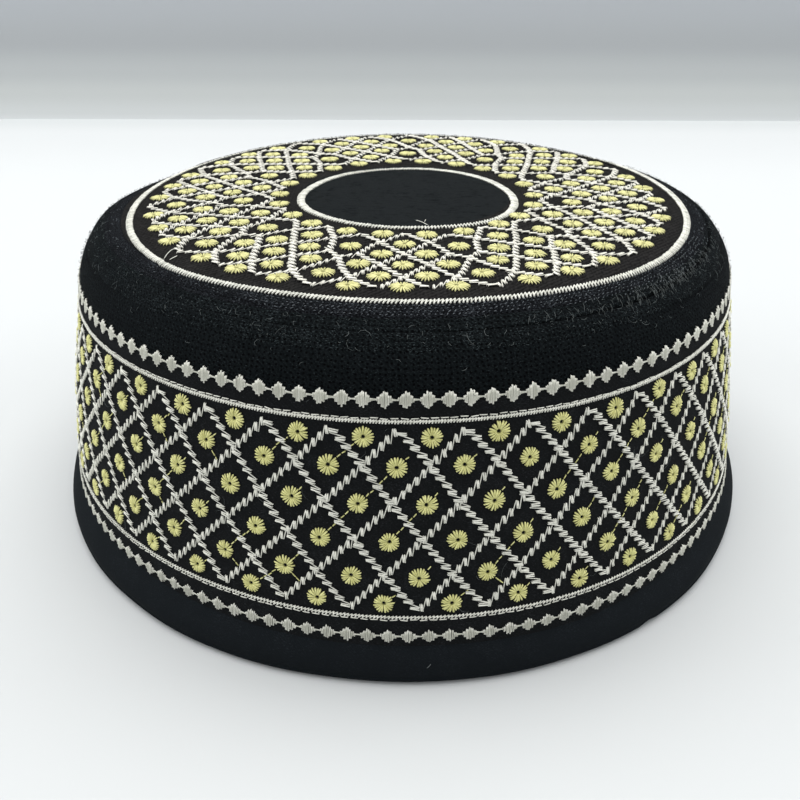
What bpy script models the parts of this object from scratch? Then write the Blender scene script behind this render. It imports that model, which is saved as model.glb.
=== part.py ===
"""A round, stiff, embroidered prayer cap, standing on its hem.

The cap is a drum of quilted cloth, open below: a flat crown panel with a stitched shoulder,
a side wall that flares towards the foot, and a folded hem band. Raised satin stitching is
solid trim on the cloth: two rings on the crown, two cord lines and two diamond chains on the
wall. Everything is turned round the Z axis, and the floor is Z = 0.
"""

import math

import bmesh
import bpy

# Units are metres. The foot is sized for a head of about 57 cm.
CROWN_HEIGHT = 0.0750
CLOTH = 0.0022  # quilted cloth and stiffener
GAP = 0.0003  # between pieces that touch

# Side wall: radius = FOOT_RADIUS - WALL_LEAN * z - WALL_CURVE * z * z
FOOT_RADIUS = 0.0942
WALL_LEAN = 0.13
WALL_CURVE = 0.9

SHOULDER_RADIUS = 0.0140
SEAM_ANGLE = math.radians(54)  # up the shoulder's arc, from level

HEM_TOP = 0.0094
HEM_RADIUS = 0.0955
HEM_FOLD = 0.0010  # one thickness of folded cloth
HEM_EDGE = 0.0005  # the band's thickness at its upper edge
HEM_FULL = (0.35, 0.70)  # shares of HEM_TOP between which the band is fullest
HEM_ROLL = 0.0004  # rounding of the folded edge
HEM_INSIDE_TOP = 0.0180

STITCH_RAISE = 0.0006  # satin stitching stands this far above its gap
OUTER_RING = (0.0713, 0.0028)  # radius along the crown, width
INNER_RING = (0.0281, 0.0015)
UPPER_CORD = (0.0571, 0.0010)  # height, width
LOWER_CORD = (0.0152, 0.0011)

# height, half height at a point, half height at a neck, count
UPPER_CHAIN = (0.0603, 0.00165, 0.00022, 127)
LOWER_CHAIN = (0.0111, 0.00145, 0.00022, 141)

TURNS = 72
AXIS_MERGE = 0.00005  # closes a turned profile that starts on the axis
SHARP_EDGE = math.radians(40)
CROWN_ARC_STEPS = 3
WALL_ARC_STEPS = 4
WALL_STEPS = 3

FINISHES = {
    # name: (colour, roughness)
    "black_cloth": ((0.012, 0.013, 0.016), 0.85),
    "hem_cloth": ((0.010, 0.011, 0.014), 0.90),
    "white_thread": ((0.62, 0.61, 0.55), 0.55),
}


def wall_radius(z):
    """The wall's outer radius at height z."""
    return FOOT_RADIUS - WALL_LEAN * z - WALL_CURVE * z * z


def wall_tilt(z):
    """How far the wall's outward normal points above level, at height z."""
    return math.atan(WALL_LEAN + 2 * WALL_CURVE * z)


def shoulder():
    """(centre radius, centre height, lowest angle) of the arc that joins crown and wall."""
    centre_z = CROWN_HEIGHT - SHOULDER_RADIUS
    join_z = centre_z
    for _ in range(20):  # settles where arc and wall have the same tilt
        join_z = centre_z + SHOULDER_RADIUS * math.sin(wall_tilt(join_z))
    tilt = wall_tilt(join_z)
    return wall_radius(join_z) - SHOULDER_RADIUS * math.cos(tilt), centre_z, tilt


ARC_RADIUS, ARC_HEIGHT, ARC_LOW = shoulder()


def on_arc(angle, out=0.0):
    """A point of the shoulder's arc, moved out along its normal."""
    size = SHOULDER_RADIUS + out
    return (ARC_RADIUS + size * math.cos(angle), ARC_HEIGHT + size * math.sin(angle))


def on_wall(z, out=0.0):
    """A point of the wall's outer side, moved out along its normal."""
    tilt = wall_tilt(z)
    return (wall_radius(z) + out * math.cos(tilt), z + out * math.sin(tilt))


def on_crown(radius, out=0.0):
    """A point of the crown at this radius, on its flat part or on the shoulder."""
    if radius <= ARC_RADIUS:
        return (radius, CROWN_HEIGHT + out)
    return on_arc(math.acos((radius - ARC_RADIUS) / SHOULDER_RADIUS), out)


def spread(first, last, steps):
    """steps + 1 values from first to last."""
    return [first + (last - first) * i / steps for i in range(steps + 1)]


def clear_scene():
    for obj in list(bpy.data.objects):
        bpy.data.objects.remove(obj)


def cap_collection():
    group = bpy.data.collections.new("prayer_cap")
    bpy.context.scene.collection.children.link(group)
    return group


def make_materials():
    made = {}
    for name, (colour, roughness) in FINISHES.items():
        material = bpy.data.materials.new(name)
        material.use_nodes = True
        shader = material.node_tree.nodes["Principled BSDF"]
        shader.inputs["Base Color"].default_value = (*colour, 1.0)
        shader.inputs["Roughness"].default_value = roughness
        shader.inputs["Metallic"].default_value = 0.0
        made[name] = material
    return made


def add_piece(name, mesh, material, group):
    mesh.materials.append(material)
    mesh.shade_smooth()
    mesh.set_sharp_from_angle(angle=SHARP_EDGE)
    piece = bpy.data.objects.new(name, mesh)
    group.objects.link(piece)
    return piece


def turned(name, profile, closed, material, group):
    """A profile of (radius, height) points, turned round Z. It runs down its outer side."""
    mesh = bpy.data.meshes.new(name)
    points = [(radius, 0.0, height) for radius, height in profile]
    edges = [(i, i + 1) for i in range(len(points) - 1)]
    if closed:
        edges.append((len(points) - 1, 0))
    mesh.from_pydata(points, edges, [])
    piece = add_piece(name, mesh, material, group)
    turn = piece.modifiers.new("turn", "SCREW")
    turn.axis = "Z"
    turn.angle = math.radians(360)
    turn.steps = TURNS
    turn.render_steps = TURNS
    turn.use_merge_vertices = True
    turn.merge_threshold = AXIS_MERGE
    turn.use_smooth_shade = True
    return piece


def crown_panel(materials, group):
    """The flat crown and the top of its shoulder, down to the seam."""
    angles = spread(math.radians(90), SEAM_ANGLE, CROWN_ARC_STEPS)
    outside = [(0.0, CROWN_HEIGHT)] + [on_arc(a) for a in angles]
    inside = [on_arc(a, -CLOTH) for a in reversed(angles)] + [(0.0, CROWN_HEIGHT - CLOTH)]
    turned("crown_panel", outside + inside, False, materials["black_cloth"], group)


def side_wall(materials, group):
    """The lower shoulder and the flared wall, down into the hem's fold."""
    top_angle = SEAM_ANGLE - GAP / (SHOULDER_RADIUS - CLOTH)
    angles = spread(top_angle, ARC_LOW, WALL_ARC_STEPS)
    foot = HEM_FOLD + GAP + CLOTH * math.sin(wall_tilt(0.0))
    heights = spread(on_arc(ARC_LOW)[1], foot, WALL_STEPS)[1:]
    outside = [on_arc(a) for a in angles] + [on_wall(z) for z in heights]
    inside = [on_wall(z, -CLOTH) for z in reversed(heights)]
    inside += [on_arc(a, -CLOTH) for a in reversed(angles)]
    turned("side_wall", outside + inside, True, materials["black_cloth"], group)


def hem_band(materials, group):
    """The folded band at the foot, which takes the wall's lower edge in its fold."""
    inside = -CLOTH - GAP
    facing = inside - HEM_FOLD
    profile = [
        on_wall(HEM_TOP, GAP + HEM_EDGE),
        (HEM_RADIUS - HEM_ROLL, HEM_TOP * HEM_FULL[1]),
        (HEM_RADIUS, HEM_TOP * HEM_FULL[0]),
        (HEM_RADIUS - HEM_ROLL / 2, HEM_ROLL),
        (HEM_RADIUS - HEM_ROLL * 2, 0.0),
        (on_wall(0.0, facing)[0], 0.0),
        on_wall(HEM_INSIDE_TOP, facing),
        on_wall(HEM_INSIDE_TOP, inside),
        on_wall(HEM_FOLD, inside),
        on_wall(HEM_FOLD, GAP),
        on_wall(HEM_TOP, GAP),
    ]
    turned("hem_band", profile, True, materials["hem_cloth"], group)


def crown_ring(name, ring, materials, group):
    """A flat satin ring that follows the crown."""
    radius, width = ring
    inner = radius - width / 2
    outer = radius + width / 2
    profile = [
        on_crown(inner, GAP + STITCH_RAISE),
        on_crown(outer, GAP + STITCH_RAISE),
        on_crown(outer, GAP),
        on_crown(inner, GAP),
    ]
    turned(name, profile, True, materials["white_thread"], group)


def wall_cord(name, cord, materials, group):
    """A narrow satin line round the wall."""
    height, width = cord
    top = height + width / 2
    foot = height - width / 2
    profile = [
        on_wall(top, GAP + STITCH_RAISE),
        on_wall(foot, GAP + STITCH_RAISE),
        on_wall(foot, GAP),
        on_wall(top, GAP),
    ]
    turned(name, profile, True, materials["white_thread"], group)


def chain_sections(count, half_point, half_neck):
    """(angle, half height) of each section: a neck, then a point."""
    pitch = 2 * math.pi / count
    for i in range(count):
        yield (i * pitch - pitch / 2, half_neck)
        yield (i * pitch, half_point)


def diamond_chain(name, chain, materials, group):
    """A row of satin diamonds joined by thin necks, lofted round the wall."""
    height, half_point, half_neck, count = chain
    shape = bmesh.new()
    loops = []
    for angle, half in chain_sections(count, half_point, half_neck):
        corners = [
            on_wall(height + half, GAP + STITCH_RAISE),
            on_wall(height - half, GAP + STITCH_RAISE),
            on_wall(height - half, GAP),
            on_wall(height + half, GAP),
        ]
        # angle 0 is the front, at -Y
        turn = (math.sin(angle), -math.cos(angle))
        loops.append([shape.verts.new((r * turn[0], r * turn[1], z)) for r, z in corners])
    for here, after in zip(loops, loops[1:] + loops[:1]):
        for i in range(4):
            j = (i + 1) % 4
            shape.faces.new((here[i], here[j], after[j], after[i]))
    bmesh.ops.recalc_face_normals(shape, faces=shape.faces)
    mesh = bpy.data.meshes.new(name)
    shape.to_mesh(mesh)
    shape.free()
    add_piece(name, mesh, materials["white_thread"], group)


def build():
    clear_scene()
    group = cap_collection()
    materials = make_materials()
    crown_panel(materials, group)
    side_wall(materials, group)
    hem_band(materials, group)
    crown_ring("crown_outer_ring", OUTER_RING, materials, group)
    crown_ring("crown_inner_ring", INNER_RING, materials, group)
    wall_cord("upper_cord_line", UPPER_CORD, materials, group)
    wall_cord("lower_cord_line", LOWER_CORD, materials, group)
    diamond_chain("upper_diamond_chain", UPPER_CHAIN, materials, group)
    diamond_chain("lower_diamond_chain", LOWER_CHAIN, materials, group)


build()
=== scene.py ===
"""The looks of a round embroidered prayer cap that stands on a pale table.

The cap's cloth is one turned line, measured along the cloth from the middle of the crown
(`along`) and round the axis from the front (`turn`). Every stitch is laid on that surface by
the same two numbers, plus how far it stands off the cloth (`lift`), so cloth and embroidery
bend and sag together.
"""

import math

import bpy
import numpy as np
from mathutils import Matrix, Vector


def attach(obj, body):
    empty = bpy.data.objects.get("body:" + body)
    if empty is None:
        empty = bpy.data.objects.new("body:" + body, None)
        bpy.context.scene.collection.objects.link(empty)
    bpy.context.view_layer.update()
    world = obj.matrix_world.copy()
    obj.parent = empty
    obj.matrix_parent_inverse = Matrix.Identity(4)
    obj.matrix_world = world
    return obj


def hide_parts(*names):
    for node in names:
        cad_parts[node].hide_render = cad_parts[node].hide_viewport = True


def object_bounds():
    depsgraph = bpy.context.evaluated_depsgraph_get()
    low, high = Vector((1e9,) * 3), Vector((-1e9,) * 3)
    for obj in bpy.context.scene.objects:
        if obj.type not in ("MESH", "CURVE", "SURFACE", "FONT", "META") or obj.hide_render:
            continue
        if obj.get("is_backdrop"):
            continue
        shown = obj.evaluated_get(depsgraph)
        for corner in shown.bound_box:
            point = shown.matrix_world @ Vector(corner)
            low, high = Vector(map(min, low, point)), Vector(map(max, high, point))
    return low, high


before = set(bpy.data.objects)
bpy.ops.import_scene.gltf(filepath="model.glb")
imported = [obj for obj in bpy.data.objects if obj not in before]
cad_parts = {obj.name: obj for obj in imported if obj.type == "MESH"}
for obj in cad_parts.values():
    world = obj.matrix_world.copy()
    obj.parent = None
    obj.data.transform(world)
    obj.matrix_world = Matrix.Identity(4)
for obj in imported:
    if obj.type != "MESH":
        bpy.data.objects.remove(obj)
cad_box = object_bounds()

MM = 0.001
TAU = 2 * math.pi
chance = np.random.default_rng(57)

# The cap's cloth as it lies in the photo, where the solids are plain and round
CROWN_HEIGHT = 0.0743
CLOTH = 0.0022
FOOT_RADIUS = 0.09403
WALL_LEAN = 0.145
WALL_CURVE = 0.409
WALL_OVAL = 0.013  # share by which the wall is longer from front to back
WALL_SHRINK = 0.002
SHOULDER_RADIUS = 0.0140
SEAM_ANGLE = math.radians(54)
HEM_RADIUS = 0.0955
HEM_INSIDE_TOP = 0.0180

CROWN_TILT = (0.0036, -0.0098)  # rise for each metre in X and Y
CROWN_BEND = (-0.244, -0.012, 0.019)  # rise for each square metre: X, Y and both together
BACK_FALL = 0.0022  # how much lower the crown's rim lies at the back
BACK_RIM = (0.0667, 0.0742)  # radii between which it falls
BACK_MIDDLE = math.radians(-168)
BACK_SPREAD = (math.radians(50), math.radians(82))
LEFT_TURN = math.radians(-108)  # where the shoulder is pressed in a little
LEFT_SPREAD = math.radians(34)
LEFT_DEPTH = 0.0009
LEFT_ALONG = (0.0715, 0.0800)  # where along the cloth the press begins
LEFT_HEIGHT = (0.035, 0.060)  # and between which heights it grows
CROWN_LAST = (0.0705, 0.0895)  # along the cloth, where the crown's bend fades out
WALL_FIRST = (0.074, 0.086)  # and where the wall's own shape takes over
SWAY = (  # waves round the wall: count, size, phase, and how far the phase moves over SWAY_HEIGHT
    (2, 0.00022, 0.8, 6.0),
    (3, 0.00016, 2.1, -9.0),
    (5, 0.00010, 4.0, 14.0),
    (9, 0.00005, 1.3, 30.0),
)
SWAY_HEIGHT = 0.1

ROUND_STEPS = 216
LINE_STEPS = (60, 120, 200)  # points along the crown, the shoulder's arc and the wall
LEAST_RADIUS = 0.002  # keeps turns small beside the crown's middle


def smooth(value, low, high):
    """0 below low, 1 above high, and a soft ramp between."""
    share = np.clip((value - low) / (high - low), 0.0, 1.0)
    return share * share * (3.0 - 2.0 * share)


def hump(away, width):
    """1 in the middle, and a soft fall to 0 on both sides."""
    return np.exp(-((away / width) ** 2))


def angle_between(turn, other):
    return np.angle(np.exp(1j * (np.asarray(turn) - other)))


def read_round(table, turn):
    """A value at these turns from a table of (turn in degrees, value)."""
    return np.interp(np.degrees(angle_between(turn, 0.0)), *zip(*table))


def wall_radius(z):
    return FOOT_RADIUS - WALL_LEAN * z - WALL_CURVE * z * z


def wall_tilt(z):
    return np.arctan(WALL_LEAN + 2 * WALL_CURVE * z)


def shoulder_arc():
    """Centre radius, centre height and lowest angle of the arc that joins crown and wall."""
    centre = CROWN_HEIGHT - SHOULDER_RADIUS
    join = centre
    for _ in range(20):  # settles where arc and wall have the same tilt
        join = centre + SHOULDER_RADIUS * math.sin(wall_tilt(join))
    tilt = float(wall_tilt(join))
    return wall_radius(join) - SHOULDER_RADIUS * math.cos(tilt), centre, tilt


ARC_CENTRE, ARC_HEIGHT, ARC_LOW = shoulder_arc()


def cloth_line():
    """The cloth's outer line as columns: along, radius, height, and its normal's radius and height."""
    flat_steps, bend_steps, wall_steps = LINE_STEPS
    flat = [(r, CROWN_HEIGHT, 0.0, 1.0) for r in np.linspace(0.0, ARC_CENTRE, flat_steps)[:-1]]
    bend = []
    for angle in np.linspace(math.pi / 2, ARC_LOW, bend_steps):
        across = math.cos(angle)
        up = math.sin(angle)
        bend.append((ARC_CENTRE + SHOULDER_RADIUS * across, ARC_HEIGHT + SHOULDER_RADIUS * up, across, up))
    wall = []
    for z in np.linspace(bend[-1][1], 0.0, wall_steps)[1:]:
        tilt = wall_tilt(z)
        wall.append((wall_radius(z), z, math.cos(tilt), math.sin(tilt)))
    line = np.array(flat + bend + wall)
    steps = np.hypot(np.diff(line[:, 0]), np.diff(line[:, 1]))
    along = np.concatenate(([0.0], np.cumsum(steps)))
    return np.column_stack((along, line))


LINE = cloth_line()
SEAM = float(ARC_CENTRE + SHOULDER_RADIUS * (math.pi / 2 - SEAM_ANGLE))
FOOT = float(LINE[-1, 0])


def along_at(height):
    """How far along the cloth a height on the wall is."""
    return np.interp(-np.asarray(height), -LINE[:, 2], LINE[:, 0])


def radius_at(along):
    return np.interp(along, LINE[:, 0], LINE[:, 1])


def on_cap(turn, along, lift=0.0):
    """Points on the cap, with the cloth's small sags and waves."""
    across = np.interp(along, LINE[:, 0], LINE[:, 3])
    up = np.interp(along, LINE[:, 0], LINE[:, 4])
    radius = radius_at(along) + lift * across
    z = np.interp(along, LINE[:, 0], LINE[:, 2]) + lift * up
    wall = smooth(along, *WALL_FIRST)
    radius = radius * (1.0 + wall * (WALL_OVAL * np.cos(2 * turn) - WALL_SHRINK))
    pressed = hump(angle_between(turn, LEFT_TURN), LEFT_SPREAD)
    radius = radius - LEFT_DEPTH * pressed * smooth(along, *LEFT_ALONG) * smooth(z, *LEFT_HEIGHT)
    for count, size, phase, change in SWAY:
        radius = radius + wall * size * np.sin(count * turn + phase + change * z / SWAY_HEIGHT)
    x = radius * np.sin(turn)
    y = -radius * np.cos(turn)
    crown = 1.0 - smooth(along, *CROWN_LAST)
    bend = CROWN_BEND[0] * x * x + CROWN_BEND[1] * y * y + CROWN_BEND[2] * x * y
    behind = 1.0 - smooth(np.abs(angle_between(turn, BACK_MIDDLE)), *BACK_SPREAD)
    fall = BACK_FALL * smooth(radius, *BACK_RIM) * behind
    z = z + crown * (bend + CROWN_TILT[0] * x + CROWN_TILT[1] * y - fall)
    return np.stack((x, y, z), axis=-1)


def normal_on_cap(turn, along):
    across = np.interp(along, LINE[:, 0], LINE[:, 3])
    up = np.interp(along, LINE[:, 0], LINE[:, 4])
    return np.stack((across * np.sin(turn), -across * np.cos(turn), up), axis=-1)


def shift(turn, along, right, rise):
    """Moves a point over the cloth: right, and up the wall or in towards the crown's middle."""
    return turn + right / np.maximum(radius_at(along), LEAST_RADIUS), along - rise


# Meshes


def new_mesh(name, points, faces, corner_uv=None, materials=(), face_material=None, tones=None):
    mesh = bpy.data.meshes.new(name)
    mesh.from_pydata(points.tolist(), [], faces)
    if corner_uv is not None:
        layer = mesh.uv_layers.new(name="cloth_lie")
        layer.data.foreach_set("uv", np.asarray(corner_uv, dtype=np.float32).ravel())
    for label, values in (tones or {}).items():
        tone = mesh.attributes.new(label, "FLOAT", "POINT")
        tone.data.foreach_set("value", np.asarray(values, dtype=np.float32))
    for material in materials:
        mesh.materials.append(material)
    if face_material is not None:
        mesh.polygons.foreach_set("material_index", face_material)
    mesh.shade_smooth()
    mesh.update()
    piece = bpy.data.objects.new(name, mesh)
    bpy.context.scene.collection.objects.link(piece)
    return piece


def finish_piece(piece, replaced=()):
    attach(piece, "root")
    if replaced:
        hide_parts(*replaced)
    return piece


def thread_faces(count, points):
    """Faces of threads with a tip at both ends and rings of four points between."""
    rings = points - 2
    size = 2 + 4 * rings
    pattern = []
    for i in range(4):
        j = (i + 1) % 4
        pattern.append((0, 1 + j, 1 + i))
        last = 1 + 4 * (rings - 1)
        pattern.append((size - 1, last + i, last + j))
    for ring in range(rings - 1):
        here = 1 + 4 * ring
        after = here + 4
        for i in range(4):
            j = (i + 1) % 4
            pattern.append((here + i, here + j, after + j, after + i))
    faces = []
    for k in range(count):
        start = k * size
        faces.extend(tuple(start + v for v in face) for face in pattern)
    return faces, pattern, size


RISE_OF_THREAD = 0.50  # a thread's height over its middle, as a share of its width
DEPTH_OF_THREAD = 0.30
ROUND_THREAD = (0.0, 0.25, 0.5, 0.75)  # places round a thread: side, top, side, underside
THREAD_TOP = 0.25


def unit(vectors):
    return vectors / np.maximum(np.linalg.norm(vectors, axis=2, keepdims=True), 1e-9)


def make_threads(name, turn, along, lift, width, material):
    """One mesh of many threads. Each array has a row for each thread and a column for each point."""
    turn, along, lift, width = np.broadcast_arrays(turn, along, lift, width)
    count, points = turn.shape
    middle = on_cap(turn, along, lift)
    out = normal_on_cap(turn, along)
    side = unit(np.cross(unit(np.gradient(middle, axis=1)), out))
    inner = slice(1, points - 1)
    wide = width[:, inner, None]
    corners = np.stack(
        (
            middle[:, inner] + side[:, inner] * wide / 2,
            middle[:, inner] + out[:, inner] * wide * RISE_OF_THREAD,
            middle[:, inner] - side[:, inner] * wide / 2,
            middle[:, inner] - out[:, inner] * wide * DEPTH_OF_THREAD,
        ),
        axis=2,
    )
    body = corners.reshape(count, -1, 3)
    spots = np.concatenate((middle[:, :1], body, middle[:, -1:]), axis=1)
    faces, pattern, size = thread_faces(count, points)

    steps = np.linalg.norm(np.diff(middle, axis=1), axis=2)
    length = np.concatenate((np.zeros((count, 1)), np.cumsum(steps, axis=1)), axis=1)
    around = np.concatenate(([THREAD_TOP], np.tile(ROUND_THREAD, points - 2), [THREAD_TOP]))
    down = np.concatenate((length[:, :1], np.repeat(length[:, inner], 4, axis=1), length[:, -1:]), axis=1)
    order = np.concatenate([np.array(face) for face in pattern])
    uv = np.stack((np.broadcast_to(around[order], (count, len(order))), down[:, order] / MM), axis=-1)
    ends = np.ones(points)  # 0 in a long thread's middle, which gets painted shade; the ends, at 1, stay as painted highlights
    if points > 5:
        ends[2:-2] = 0.0
    spread = np.concatenate((ends[:1], np.repeat(ends[inner], 4), ends[-1:]))
    tones = {"strand": np.repeat(chance.random(count), size), "thread_end": np.tile(spread, count)}
    return new_mesh(name, spots.reshape(-1, 3), faces, uv.reshape(-1, 2), (material,), None, tones)


THREAD_TIP = 0.00018
THREAD_BITE = 0.00010  # how deep a thread's ends go into the cloth
TIP_LIMIT = 0.35  # the most of a thread's length that one tip takes
OVER_PADDING = (0.30, 0.70)  # the part of its length where a thread lies highest on its padding


def stitch_rows(starts, ends, bow, width, shoulder=None, taper=THREAD_TIP):
    """Threads from start to end points, given as (turn, along), that bite into the cloth at both ends.

    shoulder is the share of the bow that a thread has near its ends, where it lies over padding,
    and taper is the length of its pointed ends.
    """
    starts = np.asarray(starts)
    ends = np.asarray(ends)
    radius = radius_at((starts[:, 1] + ends[:, 1]) / 2)
    length = np.hypot((ends[:, 0] - starts[:, 0]) * radius, ends[:, 1] - starts[:, 1])
    tip = np.minimum(taper / np.maximum(length, 1e-6), TIP_LIMIT)
    none = np.zeros_like(tip)
    stops = [none, tip, 1.0 - tip, none + 1.0]
    if shoulder is not None:
        stops[2:2] = [none + share for share in OVER_PADDING]
    share = np.stack(stops, axis=1)
    turn = starts[:, :1] + (ends[:, :1] - starts[:, :1]) * share
    along = starts[:, 1:] + (ends[:, 1:] - starts[:, 1:]) * share
    lift = np.zeros(turn.shape) + np.asarray(bow).reshape(-1, 1)
    if shoulder is not None:
        lift[:, 1] *= shoulder
        lift[:, -2] *= shoulder
    lift[:, 0] = -THREAD_BITE
    lift[:, -1] = -THREAD_BITE
    wide = np.zeros(turn.shape) + np.asarray(width).reshape(-1, 1)
    return turn, along, lift, wide


def join_rows(rows):
    """Several sets of threads as one set."""
    return [np.concatenate(part) for part in zip(*rows)]


def turned_sheet(name, rows, materials, material_of, uv_of, closed=False, drawn=None):
    """Cloth turned round the axis. rows holds a function of turn for each ring: its points.

    drawn says for each ring how deep its points are drawn in, from 0 to 1.
    """
    turns = np.arange(ROUND_STEPS) * TAU / ROUND_STEPS
    rings = [ring(turns) for ring in rows]
    points = np.concatenate(rings)
    faces = []
    uv = []
    face_material = []
    last = len(rows) if closed else len(rows) - 1
    for k in range(last):
        after = (k + 1) % len(rows)
        slot = material_of(k)
        for i in range(ROUND_STEPS):
            j = (i + 1) % ROUND_STEPS
            here = k * ROUND_STEPS
            there = after * ROUND_STEPS
            faces.append((here + i, there + i, there + j, here + j))
            uv.extend((uv_of(k, i), uv_of(k + 1, i), uv_of(k + 1, i + 1), uv_of(k, i + 1)))
            face_material.append(slot)
    tones = None if drawn is None else {"drawn_in": np.concatenate([depth(turns) for depth in drawn])}
    return new_mesh(name, points, faces, uv, materials, face_material, tones)


# Node groups


def add_node(tree, kind, inputs=None, **settings):
    node = tree.nodes.new(kind)
    for key, value in settings.items():
        setattr(node, key, value)
    for key, value in (inputs or {}).items():
        socket = node.inputs[key]
        if isinstance(value, bpy.types.NodeSocket):
            tree.links.new(value, socket)
        else:
            socket.default_value = value
    return node


def calc(tree, operation, first, second=0.0, third=0.0):
    return add_node(tree, "ShaderNodeMath", {0: first, 1: second, 2: third}, operation=operation).outputs[0]


def held(tree, value):
    """The value, kept from 0 to 1."""
    return calc(tree, "MINIMUM", calc(tree, "MAXIMUM", value, 0.0), 1.0)


def noise(tree, place, scale, detail, distortion=0.0):
    inputs = {"Vector": place, "Scale": scale, "Detail": detail, "Distortion": distortion}
    return add_node(tree, "ShaderNodeTexNoise", inputs).outputs[0]


def bump(tree, height, depth, before=None, strength=1.0):
    """A normal for a relief of this depth in metres, over the normal before it."""
    inputs = {"Height": height, "Distance": depth, "Strength": strength}
    if before is not None:
        inputs["Normal"] = before
    return add_node(tree, "ShaderNodeBump", inputs).outputs[0]


def blend_colours(tree, factor, first, second):
    node = tree.nodes.new("ShaderNodeMix")
    node.data_type = "RGBA"
    for socket, value in ((node.inputs[0], factor), (node.inputs[6], first), (node.inputs[7], second)):
        if isinstance(value, bpy.types.NodeSocket):
            tree.links.new(value, socket)
        else:
            socket.default_value = value
    return node.outputs[2]


def new_group(name, inputs, outputs):
    """A shader node group. inputs and outputs are (name, kind, start value) and (name, kind)."""
    tree = bpy.data.node_groups.new(name, "ShaderNodeTree")
    for label, kind, start in inputs:
        socket = tree.interface.new_socket(name=label, in_out="INPUT", socket_type="NodeSocket" + kind)
        if start is not None:
            socket.default_value = start
    for label, kind in outputs:
        tree.interface.new_socket(name=label, in_out="OUTPUT", socket_type="NodeSocket" + kind)
    return tree, tree.nodes.new("NodeGroupInput").outputs, tree.nodes.new("NodeGroupOutput").inputs


def twill_group():
    """Fine diagonal weave, from coordinates in metres. Its Shade is painted shade, darker in the weave's
    grooves and lighter on its ribs, with uneven tone from the slubs.
    """
    slubs = 900.0  # for each metre
    single_threads = 0.35  # their relief beside the diagonal ribs
    relief = 0.37
    slub_shade = 1.2
    tree, given, made = new_group(
        "twill_weave",
        (("Lie", "Vector", None), ("Threads per Metre", "Float", 2200.0), ("Slub", "Float", 3.0)),
        (("Height", "Float"), ("Shade", "Float")),
    )
    parts = add_node(tree, "ShaderNodeSeparateXYZ", {0: given["Lie"]}).outputs
    warp = calc(tree, "MULTIPLY", parts[0], given["Threads per Metre"])
    weft = calc(tree, "MULTIPLY", parts[1], given["Threads per Metre"])
    slub = calc(tree, "SUBTRACT", noise(tree, given["Lie"], slubs, 2.0), 0.5)
    diagonal = calc(tree, "SUBTRACT", warp, weft)
    leaning = calc(tree, "MULTIPLY_ADD", slub, given["Slub"], diagonal)
    rib = calc(tree, "SINE", calc(tree, "MULTIPLY", leaning, math.pi))
    thread = calc(tree, "SINE", calc(tree, "MULTIPLY", warp, TAU))
    mixed = calc(tree, "MULTIPLY_ADD", thread, single_threads, rib)
    height = calc(tree, "MULTIPLY_ADD", mixed, relief, 0.5)
    tree.links.new(height, made["Height"])
    # painted shade of the weave's relief, with the slubs' own tone
    tree.links.new(calc(tree, "MULTIPLY_ADD", slub, slub_shade, height), made["Shade"])
    return tree


def fibre_group():
    """Matted short fibres: a fine, streaky relief and pale lint on it."""
    stretch = (1.0, 2.6, 1.0)  # makes the fibres longer round the cap than along the cloth
    patches_per_metre = 190.0
    tree, given, made = new_group(
        "matted_fibres",
        (
            ("Lie", "Vector", None),
            ("Fibres per Metre", "Float", 1600.0),
            ("Specks per Metre", "Float", 2400.0),
            ("Lint", "Float", 0.5),
            ("Contrast", "Float", 4.0),
            ("Patches", "Float", 0.2),
        ),
        (("Height", "Float"), ("Lint Mask", "Float")),
    )
    stretched = add_node(tree, "ShaderNodeMapping", {"Vector": given["Lie"], "Scale": stretch}).outputs[0]
    tree.links.new(noise(tree, stretched, given["Fibres per Metre"], 3.0, 1.5), made["Height"])
    dots = noise(tree, stretched, given["Specks per Metre"], 2.0, 0.8)
    patches = calc(tree, "SUBTRACT", noise(tree, given["Lie"], patches_per_metre, 3.0), 0.5)
    dusty = calc(tree, "MULTIPLY_ADD", patches, given["Patches"], given["Lint"])
    picked = calc(tree, "SUBTRACT", dots, calc(tree, "SUBTRACT", 1.0, dusty))
    tree.links.new(held(tree, calc(tree, "MULTIPLY", picked, given["Contrast"])), made["Lint Mask"])
    return tree


def hole_group():
    """Rows of needle holes: a mask that is 1 in each hole."""
    unevenness = 0.45
    crispness = 7.0
    tree, given, made = new_group(
        "needle_holes",
        (
            ("Lie", "Vector", None),
            ("Pitch", "Float", 0.00120),
            ("Row Height", "Float", 0.00095),
            ("Size", "Float", 0.27),
        ),
        (("Hole", "Float"),),
    )
    parts = add_node(tree, "ShaderNodeSeparateXYZ", {0: given["Lie"]}).outputs
    across = calc(tree, "DIVIDE", parts[0], given["Pitch"])
    down = calc(tree, "DIVIDE", parts[1], given["Row Height"])
    place = add_node(tree, "ShaderNodeCombineXYZ", {0: across, 1: down}).outputs[0]
    spots = {"Vector": place, "Scale": 1.0, "Randomness": unevenness}
    cell = add_node(tree, "ShaderNodeTexVoronoi", spots, voronoi_dimensions="2D")
    inside = calc(tree, "SUBTRACT", given["Size"], cell.outputs["Distance"])
    tree.links.new(held(tree, calc(tree, "MULTIPLY", inside, crispness)), made["Hole"])
    return tree


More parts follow.
